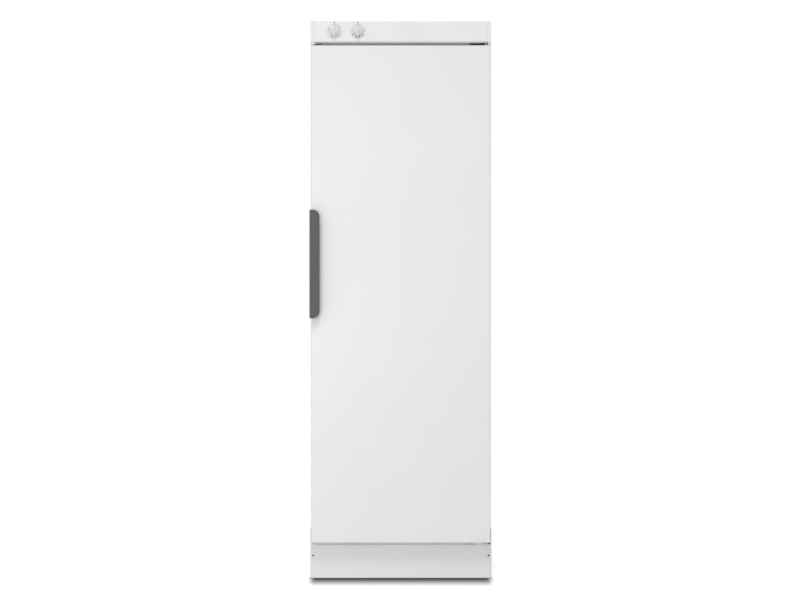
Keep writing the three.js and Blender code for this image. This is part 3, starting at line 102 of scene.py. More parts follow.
def middle(part):
    """The middle of an edge or a face."""
    return sum((v.co for v in part.verts), Vector()) / len(part.verts)


def runs_along(edge, axis):
    """Whether an edge is parallel to axis 0, 1 or 2."""
    way = edge.verts[1].co - edge.verts[0].co
    return abs(way[axis]) > 0.999 * way.length


def near(a, b):
    """Whether two places are the same, within a hundredth of a millimetre."""
    return abs(a - b) < 1e-5


def lies_at(part, **places):
    """Whether the middle of an edge or a face is at these places, given as x, y or z."""
    return all(near(getattr(middle(part), axis), place) for axis, place in places.items())


# %% [markdown]
# ## The camera
# The photograph was taken from straight in front, from far away and at half the cabinet's height:
# neither the top nor the sides show. A long lens at 12 m gives the same flat view. The focal length
# follows from how many millimetres one pixel covers at the front of the door.

# %% Camera
PHOTO_WIDTH = 800
PIXEL = 0.003294  # metres at the front of the door
VIEW_DISTANCE = 12.0
SENSOR = 36.0  # millimetres
AIM_X, AIM_Z = -0.0028, 0.921  # where the middle of the photograph meets the door

front_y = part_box("door_skin")[0].y
choose()
bpy.ops.object.camera_add(
    location=(AIM_X, front_y - VIEW_DISTANCE, AIM_Z), rotation=(math.pi / 2, 0, 0)
)
camera = bpy.context.object
camera.name = "studio_camera"
camera.data.sensor_width = SENSOR
camera.data.lens = SENSOR * VIEW_DISTANCE / (PHOTO_WIDTH * PIXEL)
bpy.context.scene.camera = camera
print("lens:", round(camera.data.lens, 1), "mm")

# %% [markdown]
# ## Nodes, colours and the studio
# One function turns a colour as it is seen on a screen into the linear values that shaders use,
# and one adds a node with its settings and links. The studio is a white room. What lights the
# cabinet is a soft fill from all sides, a soft box whose narrow beam is aimed past the door's left
# edge, so that the door falls off to the right, and a wide one high in front, which throws the
# short shadows below the knobs and the door. The camera, and anything that mirrors, sees the room
# as plain white: that comes from the light path, so the background is white without more light on
# the cabinet.

# %% Colour and node helpers
def srgb(code):
    """A hex colour from the screen as linear red, green, blue and alpha."""
    steps = [int(code[i : i + 2], 16) / 255 for i in (1, 3, 5)]
    return [c / 12.92 if c <= 0.04045 else ((c + 0.055) / 1.055) ** 2.4 for c in steps] + [1.0]


def add_node(tree, kind, settings=None, links=None):
    """Adds a node. A setting is an input where the node has one of that name or number."""
    node = tree.nodes.new(kind)
    for name, value in (settings or {}).items():
        if isinstance(name, int) or name in node.inputs:
            node.inputs[name].default_value = value
        else:
            setattr(node, name, value)
    for name, source in (links or {}).items():
        tree.links.new(source, node.inputs[name])
    return node


# %% Studio light
FILL = 0.639  # strength of what the room gives from all sides
scene = bpy.context.scene
scene.view_settings.view_transform = "Standard"
world = bpy.data.worlds.new("white_studio")
world.use_nodes = True
scene.world = world
room = world.node_tree
room.nodes.clear()
path = add_node(room, "ShaderNodeLightPath")
seen = add_node(
    room, "ShaderNodeMath", {"operation": "MAXIMUM"},
    {0: path.outputs["Is Camera Ray"], 1: path.outputs["Is Glossy Ray"]},
)
seen = add_node(
    room, "ShaderNodeMath", {"operation": "MAXIMUM"},
    {0: seen.outputs[0], 1: path.outputs["Is Transmission Ray"]},
)
fill = add_node(room, "ShaderNodeBackground", {"Color": srgb("#fdfeff"), "Strength": FILL})
white = add_node(room, "ShaderNodeBackground", {"Color": srgb("#ffffff"), "Strength": 1.0})
blend = add_node(
    room, "ShaderNodeMixShader", None,
    {0: seen.outputs[0], 1: fill.outputs[0], 2: white.outputs[0]},
)
add_node(room, "ShaderNodeOutputWorld", None, {"Surface": blend.outputs[0]})

for name, place, target, size, beam, watts in (
    ("soft_box_left", (-1.2, -3.2, 1.0), (-0.75, 0.9), 1.2, 64, 2.51),
    ("soft_box_overhead", (-0.4, -4.4, 6.0), (-0.05, 1.15), 1.6, 180, 108.5),
):
    choose()
    bpy.ops.object.light_add(type="AREA", location=place)
    lamp = bpy.context.object
    lamp.name = name
    lamp.data.size = size
    lamp.data.spread = math.radians(beam)
    lamp.data.energy = watts
    aim = Vector((target[0], front_y, target[1])) - lamp.location
    lamp.rotation_euler = aim.to_track_quat("-Z", "Y").to_euler()
    print(name, watts, "W, fill", FILL)

# %% [markdown]
# The floor is white to the camera, and in front of the plinth it carries the soft dark shadow of
# the photograph. That shadow is a gradient over the floor, measured from the plinth's front and
# from its sides. The cabinet is lit by a plain pale floor, whatever the camera sees.

# %% Floor
FLOOR_SIZE = 60
SHADOW_FRONT, SHADOW_DEPTH = -0.225, 0.40  # where it starts in front, and how far it reaches
SHADOW_EDGE, SHADOW_SIDE = 0.280, 0.030  # the same to both sides
SHADOW_BACK, SHADOW_END = -0.200, -0.150  # where it fades under the cabinet
DARKEST = 0.071
GREYS = {0.15: 0.082, 0.36: 0.225, 0.58: 0.465, 0.79: 0.655, 0.93: 0.80}  # by share of the reach
SEEN_WHITE = 1.03  # what the camera sees, just past white
GIVEN_WHITE = 0.85  # what lights the cabinet

choose()
bpy.ops.mesh.primitive_plane_add(size=FLOOR_SIZE, location=(0, 0, 0))
floor = bpy.context.object
floor.name = "studio_floor"
paper = bpy.data.materials.new("white_paper_floor")
paper.use_nodes = True
ground = paper.node_tree
ground.nodes.clear()
spot = add_node(ground, "ShaderNodeTexCoord").outputs["Object"]
spot = add_node(ground, "ShaderNodeSeparateXYZ", None, {"Vector": spot})
aside = add_node(ground, "ShaderNodeMath", {"operation": "ABSOLUTE"}, {0: spot.outputs["X"]})


def rise(start, end, source):
    """A value that rises from 0 to 1 between two places on the floor."""
    limits = {"From Min": start, "From Max": end}
    return add_node(ground, "ShaderNodeMapRange", limits, {"Value": source}).outputs[0]


away = add_node(
    ground, "ShaderNodeCombineXYZ", None,
    {
        "X": rise(SHADOW_FRONT, SHADOW_FRONT - SHADOW_DEPTH, spot.outputs["Y"]),
        "Y": rise(SHADOW_EDGE, SHADOW_EDGE + SHADOW_SIDE, aside.outputs[0]),
        "Z": rise(SHADOW_BACK, SHADOW_END, spot.outputs["Y"]),
    },
)
away = add_node(ground, "ShaderNodeVectorMath", {"operation": "LENGTH"}, {0: away.outputs[0]})
fade = add_node(ground, "ShaderNodeValToRGB", None, {"Fac": away.outputs["Value"]})
fade.color_ramp.elements[0].color = (DARKEST, DARKEST, DARKEST, 1)
for place, grey in GREYS.items():
    fade.color_ramp.elements.new(place).color = (grey, grey, grey, 1)
bright = add_node(
    ground, "ShaderNodeVectorMath", {"operation": "SCALE", "Scale": SEEN_WHITE / FILL},
    {0: fade.outputs[0]},
)
sight = add_node(ground, "ShaderNodeLightPath")
looked_at = add_node(ground, "ShaderNodeBsdfDiffuse", None, {"Color": bright.outputs[0]})
given = add_node(
    ground, "ShaderNodeBsdfDiffuse", {"Color": (GIVEN_WHITE, GIVEN_WHITE, GIVEN_WHITE, 1)}
)
either = add_node(
    ground, "ShaderNodeMixShader", None,
    {0: sight.outputs["Is Camera Ray"], 1: given.outputs[0], 2: looked_at.outputs[0]},
)
add_node(ground, "ShaderNodeOutputMaterial", None, {"Surface": either.outputs[0]})
floor.data.materials.append(paper)
print("floor shadow:", SHADOW_DEPTH, "m deep")

# %% [markdown]
# ## Finishes
# Each finish starts from the real stuff and how its surface was made. Three small effects cover
# what such surfaces have in common: a fine relief, a slow drift of the colour, and a gloss that
# changes from place to place. All of them are measured in millimetres on the object itself.

# %% Surface effects
MM = 1000  # millimetres in a metre


def new_finish(name, colour, roughness, metallic=0.0, ior=1.5):
    """A material of one plain colour and gloss, and the nodes that the effects are added to."""
    finish = bpy.data.materials.new(name)
    finish.use_nodes = True
    tree = finish.node_tree
    shader = tree.nodes["Principled BSDF"]
    shader.inputs["Base Color"].default_value = srgb(colour)
    shader.inputs["Roughness"].default_value = roughness
    shader.inputs["Metallic"].default_value = metallic
    if not metallic:
        shader.inputs["IOR"].default_value = ior
    place = add_node(tree, "ShaderNodeTexCoord").outputs["Object"]
    return finish, (tree, shader, place)


def noise(tree, place, size_mm, detail):
    """Soft patches of about this size, as values round a half."""
    settings = {"Scale": MM / size_mm, "Detail": detail}
    return add_node(tree, "ShaderNodeTexNoise", settings, {"Vector": place}).outputs[0]


def add_relief(surface, size_mm, depth_mm, detail=2.0):
    """Small bumps of about this size and depth."""
    tree, shader, place = surface
    bumps = noise(tree, place, size_mm, detail)
    relief = add_node(tree, "ShaderNodeBump", {"Distance": depth_mm / MM}, {"Height": bumps})
    tree.links.new(relief.outputs[0], shader.inputs["Normal"])


def add_drift(surface, low, high, size_mm):
    """The colour drifts between two shades, in soft patches of about this size."""
    tree, shader, place = surface
    patches = noise(tree, place, size_mm, 3.0)
    shades = add_node(tree, "ShaderNodeValToRGB", None, {"Fac": patches})
    for element, position, colour in zip(shades.color_ramp.elements, (0.3, 0.7), (low, high)):
        element.position = position
        element.color = srgb(colour)
    tree.links.new(shades.outputs[0], shader.inputs["Base Color"])


def add_gloss_change(surface, low, high, size_mm):
    """The roughness changes between two values, in patches of about this size."""
    tree, shader, place = surface
    gloss = add_node(
        tree, "ShaderNodeMapRange",
        {"From Min": 0.35, "From Max": 0.65, "To Min": low, "To Max": high},
        {"Value": noise(tree, place, size_mm, 2.0)},
    )
    tree.links.new(gloss.outputs[0], shader.inputs["Roughness"])


# %% [markdown]
# The door, the case and the racks are steel under a baked powder coat. Powder flows out as it
# melts and leaves a faint orange-peel ripple some 2 to 4 mm wide. It is drawn a little deeper
# than the real 0.02 mm, so that it shows at all.

# %% Powder-coated steel
COAT_DRIFT, COAT_GLOSS = 420, 60  # sizes of the patches in mm


def powder_coat(name, colour, shade, roughness, ripple_mm, depth_mm):
    """A coat with its ripple, a slow drift of its colour and uneven gloss."""
    finish, surface = new_finish(name, colour, roughness)
    add_relief(surface, ripple_mm, depth_mm)
    add_drift(surface, shade, colour, COAT_DRIFT)
    add_gloss_change(surface, roughness - 0.04, roughness + 0.05, COAT_GLOSS)
    return finish


white_coat = powder_coat(
    "white_powder_coat", "#f1f1ef", "#eeeeec", 0.42, 3.2, 0.035
)
plinth_coat = powder_coat(
    "grey_white_powder_coat", "#eeeeef", "#ececed", 0.46, 3.2, 0.035
)
wire_coat = powder_coat(
    "white_epoxy_wire_coat", "#e9eae9", "#e2e3e2", 0.34, 2.4, 0.06
)

# %% [markdown]
# The control strip is moulded ABS with the fine spark-eroded grain of its tool. The knobs come
# out of a polished tool and are glossier. The door's inner sheet is vacuum-formed polystyrene,
# whose gloss is broken by the stretch marks of forming. The grip is a grey, matt, grained
# plastic, and the hidden cases and feet are darker kinds.

# %% Moulded plastics
MOULD_DRIFT, MOULD_GLOSS = 90, 18  # sizes of the patches in mm


def moulded(name, colour, shade, roughness, grain_mm, depth_mm):
    """A plastic with the grain of its tool, drifting a little in colour and gloss."""
    finish, surface = new_finish(name, colour, roughness, ior=1.53)
    add_relief(surface, grain_mm, depth_mm, detail=4.0)
    add_drift(surface, shade, colour, MOULD_DRIFT)
    add_gloss_change(surface, roughness - 0.05, roughness + 0.06, MOULD_GLOSS)
    return finish


strip_plastic = moulded(
    "white_moulded_abs", "#f2f2f1", "#ececea", 0.44, 0.9, 0.02
)
knob_plastic = moulded(
    "polished_white_abs", "#e4e5e4", "#e0e1e0", 0.34, 2.5, 0.008
)
liner_plastic = moulded(
    "vacuum_formed_polystyrene", "#efefec", "#eaeae7", 0.32, 9.0, 0.05
)
grip_plastic = moulded(
    "grained_grey_plastic", "#525252", "#4f4f4f", 0.5, 1.0, 0.05
)
dark_plastic = moulded("black_pbt_case", "#2e2f31", "#28292b", 0.42, 0.8, 0.02)
sensor_plastic = moulded("grey_polyamide", "#a3a4a4", "#9d9e9e", 0.45, 0.8, 0.02)
foot_plastic = moulded("black_nylon", "#232324", "#1e1e1f", 0.52, 1.2, 0.03)
seal_plastic = moulded("soft_pvc_seal", "#d0d0cf", "#c8c8c7", 0.6, 1.6, 0.02)

# %% [markdown]
# Hot-dip galvanised sheet shows spangle: flat zinc crystals 8 to 20 mm across, each with its own
# sheen. A Voronoi pattern gives the crystals, and each cell's own value sets its shade and gloss.

# %% Galvanised sheet
CRYSTAL_MM = 11

galvanised, surface = new_finish(
    "galvanised_sheet", "#b9bdc1", 0.42, metallic=1.0
)
tree, shader, place = surface
crystals = add_node(tree, "ShaderNodeTexVoronoi", {"Scale": MM / CRYSTAL_MM}, {"Vector": place})
value = add_node(tree, "ShaderNodeSeparateColor", None, {"Color": crystals.outputs["Color"]})
shades = add_node(tree, "ShaderNodeValToRGB", None, {"Fac": value.outputs[0]})
for element, colour in zip(shades.color_ramp.elements, ("#b0b4b8", "#c5c9cc")):
    element.color = srgb(colour)
tree.links.new(shades.outputs[0], shader.inputs["Base Color"])
gloss = add_node(
    tree, "ShaderNodeMapRange", {"To Min": 0.36, "To Max": 0.47}, {"Value": value.outputs[1]}
)
tree.links.new(gloss.outputs[0], shader.inputs["Roughness"])
add_relief(surface, 5.0, 0.02)
print("spangle of", CRYSTAL_MM, "mm")

# %% [markdown]
# Pins, shafts and screws are zinc plated: bright, slightly blue, with fine turning marks. The
# upper hinge plate and the motor wear a thin dark electro-coat. The heating rod is stainless steel
# that heat has tinted straw and blue. The screws in the plinth are blackened. The numbers and dots
# on the controls are pad-printed ink.

# %% Small metal parts and inks
bright_zinc, surface = new_finish(
    "zinc_plated_steel", "#c3c8cc", 0.3, metallic=1.0
)
add_drift(surface, "#b7bcc2", "#cdd1d3", 6)
add_gloss_change(surface, 0.22, 0.4, 3)
add_relief(surface, 0.6, 0.01)

dark_coat, surface = new_finish("dark_electro_coat", "#5f6164", 0.38)
add_drift(surface, "#595b5e", "#656769", 40)
add_gloss_change(surface, 0.3, 0.46, 14)
add_relief(surface, 1.5, 0.015)

tinted_steel, surface = new_finish(
    "heat_tinted_stainless", "#8b7a68", 0.34, metallic=1.0
)
add_drift(surface, "#9a7a55", "#6c7488", 14)
add_gloss_change(surface, 0.26, 0.45, 6)

black_screw, surface = new_finish("blackened_steel", "#1d1d1e", 0.4, metallic=1.0)
add_drift(surface, "#161617", "#262628", 3)
add_relief(surface, 0.5, 0.01)

mark_ink, surface = new_finish("black_pad_printed_ink", "#242528", 0.55)
add_drift(surface, "#202124", "#2c2d30", 1.5)
pale_ink, surface = new_finish("grey_pad_printed_ink", "#8c8e92", 0.55)
add_drift(surface, "#86888c", "#949699", 1.5)

# %% [markdown]
# ## Ways to make a piece
# Sheet metal is a chain of edges, bent at its corners, pulled out to the sheet's length and given
# its thickness. Turned pieces are a profile that is spun round. Wires are a chain of edges with
# a round section. Where a solid part already has the right shape, a copy of it is cleaned and
# shaded smooth, and where its edges have room for it, they are broken by a small bevel.

# %% Shared making steps
WELD = 4e-5  # corners of a solid part that lie closer together than this are one
CUT_WELD = 5e-6  # the same for what a cut leaves behind


def finish_with(piece, kind, **settings):
    """Adds a modifier and applies it."""
    choose(piece)
    modifier = piece.modifiers.new(kind.lower(), kind)
    for name, value in settings.items():
        setattr(modifier, name, value)
    bpy.ops.object.modifier_apply(modifier=modifier.name)


def break_edges(piece, width, degrees=40, steps=2):
    """A small bevel on every edge that is sharper than an angle."""
    finish_with(
        piece, "BEVEL", width=width, segments=steps, limit_method="ANGLE",
        angle_limit=math.radians(degrees),
    )


def smooth(piece, degrees=32):
    """Smooth shading, with large flat faces kept flat."""
    choose(piece)
    bpy.ops.object.shade_smooth_by_angle(angle=math.radians(degrees))
    finish_with(piece, "WEIGHTED_NORMAL", keep_sharp=True)


def start_cube(name, low, high):
    """A box between two corners, with its object at the origin."""
    low, high = Vector(low), Vector(high)
    choose()
    bpy.ops.mesh.primitive_cube_add(size=1, location=(low + high) / 2)
    piece = bpy.context.object
    piece.scale = high - low
    bpy.ops.object.transform_apply(location=True, rotation=False, scale=True)
    piece.name = piece.data.name = name
    return piece


def start_path(name, corners):
    """A chain of edges through the corners, extruded from a single vertex."""
    choose()
    bpy.ops.mesh.primitive_plane_add(size=0.01, location=corners[0])
    piece = bpy.context.object
    bpy.ops.object.transform_apply(location=True, rotation=False, scale=False)
    piece.name = piece.data.name = name
    with editing(piece):
        bpy.ops.mesh.merge(type="CENTER")
        for here, there in zip(corners, corners[1:]):
            pull(Vector(there) - Vector(here))
    return piece


def face_away(piece, inside):
    """In edit mode, turns all faces so that the largest one looks away from a point."""
    bpy.ops.mesh.select_all(action="SELECT")
    bpy.ops.mesh.normals_make_consistent(inside=False)
    grid = bmesh.from_edit_mesh(piece.data)
    largest = max(grid.faces, key=lambda face: face.calc_area())
    if largest.normal.dot(middle(largest) - Vector(inside)) < 0:
        bpy.ops.mesh.flip_normals()


def folded_sheet(name, corners, run, thickness, inside, bend, steps=4):
    """A sheet whose outer face follows the corners, with round folds, pulled along a run."""
    piece = start_path(name, corners)
    with editing(piece):
        bpy.ops.mesh.bevel(affect="VERTICES", offset=bend, segments=steps)
        bpy.ops.mesh.select_all(action="SELECT")
        pull(run)
        face_away(piece, inside)
    finish_with(piece, "SOLIDIFY", thickness=thickness, offset=-1, use_even_offset=True)
    return piece


def turned(name, profile, centre, way, steps):
    """A profile of (radius, distance) points, spun round the axis that starts at centre."""
    centre, way = Vector(centre), Vector(way)
    side = Vector((1, 0, 0)) if abs(way.x) < 0.5 else Vector((0, 0, 1))
    piece = start_path(name, [centre + side * r + way * d for r, d in profile])
    with editing(piece):
        bpy.ops.mesh.spin(steps=steps, angle=2 * math.pi, center=centre, axis=way)
        bpy.ops.mesh.select_all(action="SELECT")
        bpy.ops.mesh.remove_doubles(threshold=1e-6)
        bpy.ops.mesh.normals_make_consistent(inside=False)
    return piece


def wires(name, routes, radius, bend=0.0, steps=4, resolution=3):
    """Round wires along routes of corner points, in one piece."""
    strands = [start_path(name, route) for route in routes]
    choose(*strands)
    bpy.ops.object.join()
    piece = bpy.context.object
    if bend:
        with editing(piece):
            bpy.ops.mesh.bevel(affect="VERTICES", offset=bend, segments=steps)
    choose(piece)
    bpy.ops.object.convert(target="CURVE")
    piece = bpy.context.object
    piece.data.bevel_depth = radius
    piece.data.bevel_resolution = resolution
    piece.data.use_fill_caps = True
    bpy.ops.object.convert(target="MESH")
    piece = bpy.context.object
    piece.name = piece.data.name = name
    return piece


def copy_of(name, mesh):
    """A new object with its own copy of a mesh."""
    piece = bpy.data.objects.new(name, mesh.copy())
    scene.collection.objects.link(piece)
    piece.data.name = name
    return piece


def dressed(name, node, bevel):
    """A cleaned copy of a solid part, with its sharp edges broken unless the bevel is 0."""
    piece = copy_of(name, nodes[node].data)
    choose(piece)
    bpy.ops.mesh.customdata_custom_splitnormals_clear()
    with editing(piece):
        bpy.ops.mesh.remove_doubles(threshold=WELD)
        bpy.ops.mesh.dissolve_limited(angle_limit=math.radians(1))
    if bevel:
        break_edges(piece, bevel)
    smooth(piece)
    return piece


def carve(piece, cutter, operation="DIFFERENCE"):
    """Cuts one piece by another, or joins them, and removes the second."""
    finish_with(piece, "BOOLEAN", object=cutter, operation=operation, solver="EXACT")
    bpy.data.objects.remove(cutter)
    with editing(piece):
        bpy.ops.mesh.remove_doubles(threshold=CUT_WELD)
        bpy.ops.mesh.dissolve_limited(angle_limit=math.radians(0.5))


def done(piece, body, finish, *stands_for):
    """Gives a piece its finish, its body and the solid parts that it stands for."""
    piece.data.materials.clear()
    piece.data.materials.append(finish)
    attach(piece, body)
    if stands_for:
        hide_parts(*stands_for)
    print(f"{piece.name}: {len(piece.data.polygons)} faces on {body}")


def dress(body, finish, bevel, **pieces):
    """Puts a dressed copy in the place of each of these solid parts."""
    for name, node in pieces.items():
        done(dressed(name, node, bevel), body, finish, node)


# %% [markdown]
# ## The door
# The door's skin is one sheet of steel with its edges folded back. Seen from the front it is a
# plain white field, so what makes it look real is the roundness of those folds. They are made as
# true bends and not as a bevel on a box, so that the door is hollow from above, as it should be.

# %% Door skin
SHEET = 0.001
DOOR_BEND = 0.004
DOOR_LIP = 0.034  # how far the folds reach inwards at the back

low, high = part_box("door_skin")
lip_x = high.x - DOOR_LIP
skin = folded_sheet(
    "door_shell",
    [
        (-lip_x, high.y, low.z), (low.x, high.y, low.z), (low.x, low.y, low.z),
        (high.x, low.y, low.z), (high.x, high.y, low.z), (lip_x, high.y, low.z),
    ],
    (0, 0, high.z - low.z), SHEET, inside=(0, (low.y + high.y) / 2, 1), bend=DOOR_BEND,
)
smooth(skin)
done(skin, "door", white_coat, "door_skin")

# %% [markdown]
# A moulded cap closes the skin at each end and holds the bush that the hinge pin turns in. In the
# photograph the lower cap stands back a little under the skin, so its front edge is cut away.

# %% Door ends
PAST = 0.01  # how far a cutting box runs past what it cuts
END_REBATE = 0.0025

skin_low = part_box("door_skin")[0]
for place in ("top", "bottom"):
    end = dressed(f"door_end_{place}", f"door_cap_{place}", 0.0004)
    if place == "bottom":
        low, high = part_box("door_cap_bottom")
        rebate = start_cube(
            "rebate", (low.x - PAST, low.y - PAST, low.z - PAST),
            (high.x + PAST, low.y + END_REBATE, skin_low.z - 0.0001),
        )
        carve(end, rebate)
    done(end, "door", strip_plastic, f"door_cap_{place}")

# %% [markdown]
# The inner sheet of the door has a flat border under the skin's folds and a raised field. It is a
# grid of three by three faces, so that the border can have its own width at the sides and ends.
# The middle face is pulled out, its corners and rims are rounded, and the sheet gets its 1.5 mm.

# %% Door liner
LINER = 0.0015
BORDER, END_BORDER = 0.033, 0.003  # at the sides and at the ends
FIELD_CORNER, FIELD_RIM = 0.014, 0.003

low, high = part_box("door_liner")
plate_y = low.y + LINER
field_x, field_low, field_high = high.x - BORDER, low.z + END_BORDER, high.z - END_BORDER
liner = start_path(
    "inner_door", [(x, plate_y, low.z) for x in (low.x, -field_x, field_x, high.x)]
)
with editing(liner):
    for here, there in ((low.z, field_low), (field_low, field_high), (field_high, high.z)):
        if here != low.z:
            pick(liner, "EDGE", lambda e: runs_along(e, 0) and lies_at(e, z=here))
        pull((0, 0, there - here))
    face_away(liner, (0, plate_y - 1, 1))
    pick(liner, "FACE", lambda f: abs(middle(f).x) < 0.01 and f.calc_area() > 0.5)
    pull((0, high.y - plate_y, 0))
    round_off(liner, FIELD_CORNER, 6, lambda e: runs_along(e, 1))
    round_off(liner, FIELD_RIM, 3, lambda e: all(near(v.co.y, high.y) for v in e.verts)
              and len(e.link_faces) == 2 and e.calc_face_angle() > 1)
finish_with(liner, "SOLIDIFY", thickness=LINER, offset=-1, use_even_offset=True)
smooth(liner)
done(liner, "door", liner_plastic, "door_liner")

# %% [markdown]
# The seal is a soft PVC section welded into a frame: a flat foot, and a bead that the magnet strip
# inside pulls against the case. A frame of four faces is extruded for the foot, inset for the
# bead and extruded again. Bridging the two open rims closes its back, and the bead is rounded.

# %% Door seal
FOOT, BEAD, BEAD_ROUND = 0.018, 0.010, 0.0024  # two widths, and the bead's radius
FOOT_RISE, SHOULDER_RISE = 0.0032, 0.0018

low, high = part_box("door_gasket")
seal = start_path("door_seal", [(low.x, low.y, low.z), (high.x, low.y, low.z)])
with editing(seal):
    pull((0, 0, high.z - low.z))
    face_away(seal, (0, low.y - 1, 1))
    bpy.ops.mesh.inset(thickness=FOOT)
    bpy.ops.mesh.delete(type="FACE")
    bpy.ops.mesh.select_all(action="SELECT")
    pull((0, FOOT_RISE, 0))
    bpy.ops.mesh.inset(thickness=(FOOT - BEAD) / 2)
    pull((0, SHOULDER_RISE, 0))
    pull((0, high.y - low.y - FOOT_RISE - SHOULDER_RISE, 0))
    pick(seal, "EDGE", lambda e: e.is_boundary)
    bpy.ops.mesh.bridge_edge_loops()
    round_off(seal, BEAD_ROUND, 4, lambda e: lies_at(e, y=high.y) and e.calc_face_angle() > 1)
    bpy.ops.mesh.select_all(action="SELECT")
    bpy.ops.mesh.normals_make_consistent(inside=False)
smooth(seal)
done(seal, "door", seal_plastic, "door_gasket")

# %% [markdown]
# The grip is a hook of thick grey plastic: one leg lies on the door's edge, the other stands off
# its front, and the hand goes behind it. It starts as a block with a rounded front edge and large
# round corners at both ends, and a second block with a rounded inner edge takes out the room for
# the fingers.

# %% Handle
CORNER, WALL, GRIP_EDGE = 0.023, 0.007, 0.005
NARROWER, SHORTER = 0.0007, 0.0010  # than the solid part, as the photograph shows it
SEAT = 0.0003  # what lies between two pieces that touch

low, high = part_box("handle")
high.x -= NARROWER
low.z += SHORTER
grip = start_cube("door_grip", low, high)
with editing(grip):
    round_off(grip, GRIP_EDGE, 6, lambda e: runs_along(e, 2) and lies_at(e, x=low.x, y=low.y))
    round_off(grip, CORNER, 10, lambda e: (runs_along(e, 1) and lies_at(e, x=high.x))
              or (runs_along(e, 0) and lies_at(e, y=high.y)))
door_edge = skin_low.x - SEAT
room_for_hand = start_cube(
    "room_for_hand",
    (door_edge, low.y + WALL, low.z - PAST), (high.x + PAST, high.y + PAST, high.z + PAST),
)
with editing(room_for_hand):
    round_off(room_for_hand, GRIP_EDGE, 6,
              lambda e: runs_along(e, 2) and lies_at(e, x=door_edge, y=low.y + WALL))
carve(grip, room_for_hand)
break_edges(grip, 0.0018, degrees=45, steps=3)
smooth(grip)
done(grip, "door", grip_plastic, "handle")

# %% [markdown]
# ## Rail and loops for gloves
# On the inside of the door two bent rails carry six loops that hold gloves open. Real wire goods
# are bent and spot welded, so every run is a wire with rounded corners, and they simply cross.

# %% Glove rack
RAIL_WIRE, LOOP_WIRE = 0.003, 0.002  # radii
RAIL_STAND, RAIL_HALF = 0.016, 0.200  # from the door, and to each side
RAIL_HEIGHTS = (1.180, 1.222)
LOOPS, LOOP_PITCH, LOOP_HALF = 6, 0.064, 0.017
LOOP_REACH, LOOP_TOP = 0.055, 1.300

wall_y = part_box("glove_rack")[0].y
rail_y = wall_y + RAIL_STAND
rails = wires(
    "glove_rails",
    [
        [
            (-RAIL_HALF, wall_y, z), (-RAIL_HALF, rail_y, z),
            (RAIL_HALF, rail_y, z), (RAIL_HALF, wall_y, z),
        ]
        for z in RAIL_HEIGHTS
    ],
    RAIL_WIRE, bend=0.008,
)
rail_low, rail_high = RAIL_HEIGHTS
top_y = rail_y + LOOP_REACH
loops = wires(
    "glove_loops",
    [
        [
            (x - LOOP_HALF, rail_y, rail_low), (x - LOOP_HALF, rail_y, rail_high),
            (x - LOOP_HALF, top_y, LOOP_TOP), (x + LOOP_HALF, top_y, LOOP_TOP),
            (x + LOOP_HALF, rail_y, rail_high), (x + LOOP_HALF, rail_y, rail_low),
        ]
        for x in [(i - (LOOPS - 1) / 2) * LOOP_PITCH for i in range(LOOPS)]
    ],
    LOOP_WIRE, bend=0.012, steps=5,
)
choose(rails, loops)
bpy.ops.object.join()
smooth(rails, 50)
done(rails, "door", wire_coat, "glove_rack")

# %% [markdown]
# ## The case
# Sides and back are folded from 1 mm sheet. The sides turn in at the front, where the seal
# meets them, and at the back. The back has two pressed channels that keep it from drumming.

# %% Side panels
FRONT_RETURN, REAR_FLANGE = 0.012, 0.016
CASE_BEND = 0.002
HANDS = {"left": -1, "right": 1}

low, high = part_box("side_panel_right")
for hand, side in HANDS.items():
    panel = folded_sheet(
        f"case_side_{hand}",
        [
            (side * low.x, low.y + FRONT_RETURN, low.z), (side * low.x, low.y, low.z),
            (side * high.x, low.y, low.z), (side * high.x, high.y, low.z),
            (side * (high.x - REAR_FLANGE), high.y, low.z),
        ],
        (0, 0, high.z - low.z), SHEET, inside=(side * (low.x + high.x) / 2, 0, 1),
        bend=CASE_BEND, steps=3,
    )
    smooth(panel)
    done(panel, "cabinet", white_coat, f"side_panel_{hand}")

# %% Back panel
CHANNELS = (0.130, -0.130)  # the middles of the two
MOUTH, GROUND, CHANNEL_DEPTH = 0.023, 0.017, 0.006  # two half widths, and the depth

low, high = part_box("back_panel")
section = [(high.x, high.y)]
for x in CHANNELS:
    ground_y = high.y - CHANNEL_DEPTH
    section += [(x + MOUTH, high.y), (x + GROUND, ground_y)]
    section += [(x - GROUND, ground_y), (x - MOUTH, high.y)]
section.append((low.x, high.y))
back = folded_sheet(
    "case_back", [(x, y, low.z) for x, y in section],
    (0, 0, high.z - low.z), SHEET, inside=(0, 0, 1), bend=CASE_BEND, steps=3,
)
smooth(back)
done(back, "cabinet", galvanised, "back_panel")

# %% [markdown]
# The lid, the cross rails and the pans of the drying space are folded sheets too. Their solid
# parts have every fold already, so they only lose the sharpness of their edges.

# %% Lid, rails, floor and ceiling of the case
SHEET_EDGE = 0.0003
dress(
    "cabinet", white_coat, SHEET_EDGE, case_lid="top_panel", rail_above_door="top_front_rail",
    sill_below_door="bottom_front_rail", drying_floor="chamber_floor",
    drying_ceiling="chamber_ceiling",
)

# %% [markdown]
# ## The plinth
# The plinth's front is one sheet with round corners and a fold along its top. The sides lap up
# over the case: those are the two small ears beside the door. The front is set back, so the door
# throws its shadow on it.

# %% Plinth front
PLINTH_SHEET, PLINTH_CORNER = 0.002, 0.009
FOLD, FOLD_BEND = 0.016, 0.0025
LONG = 0.3  # only the edges along the front are longer

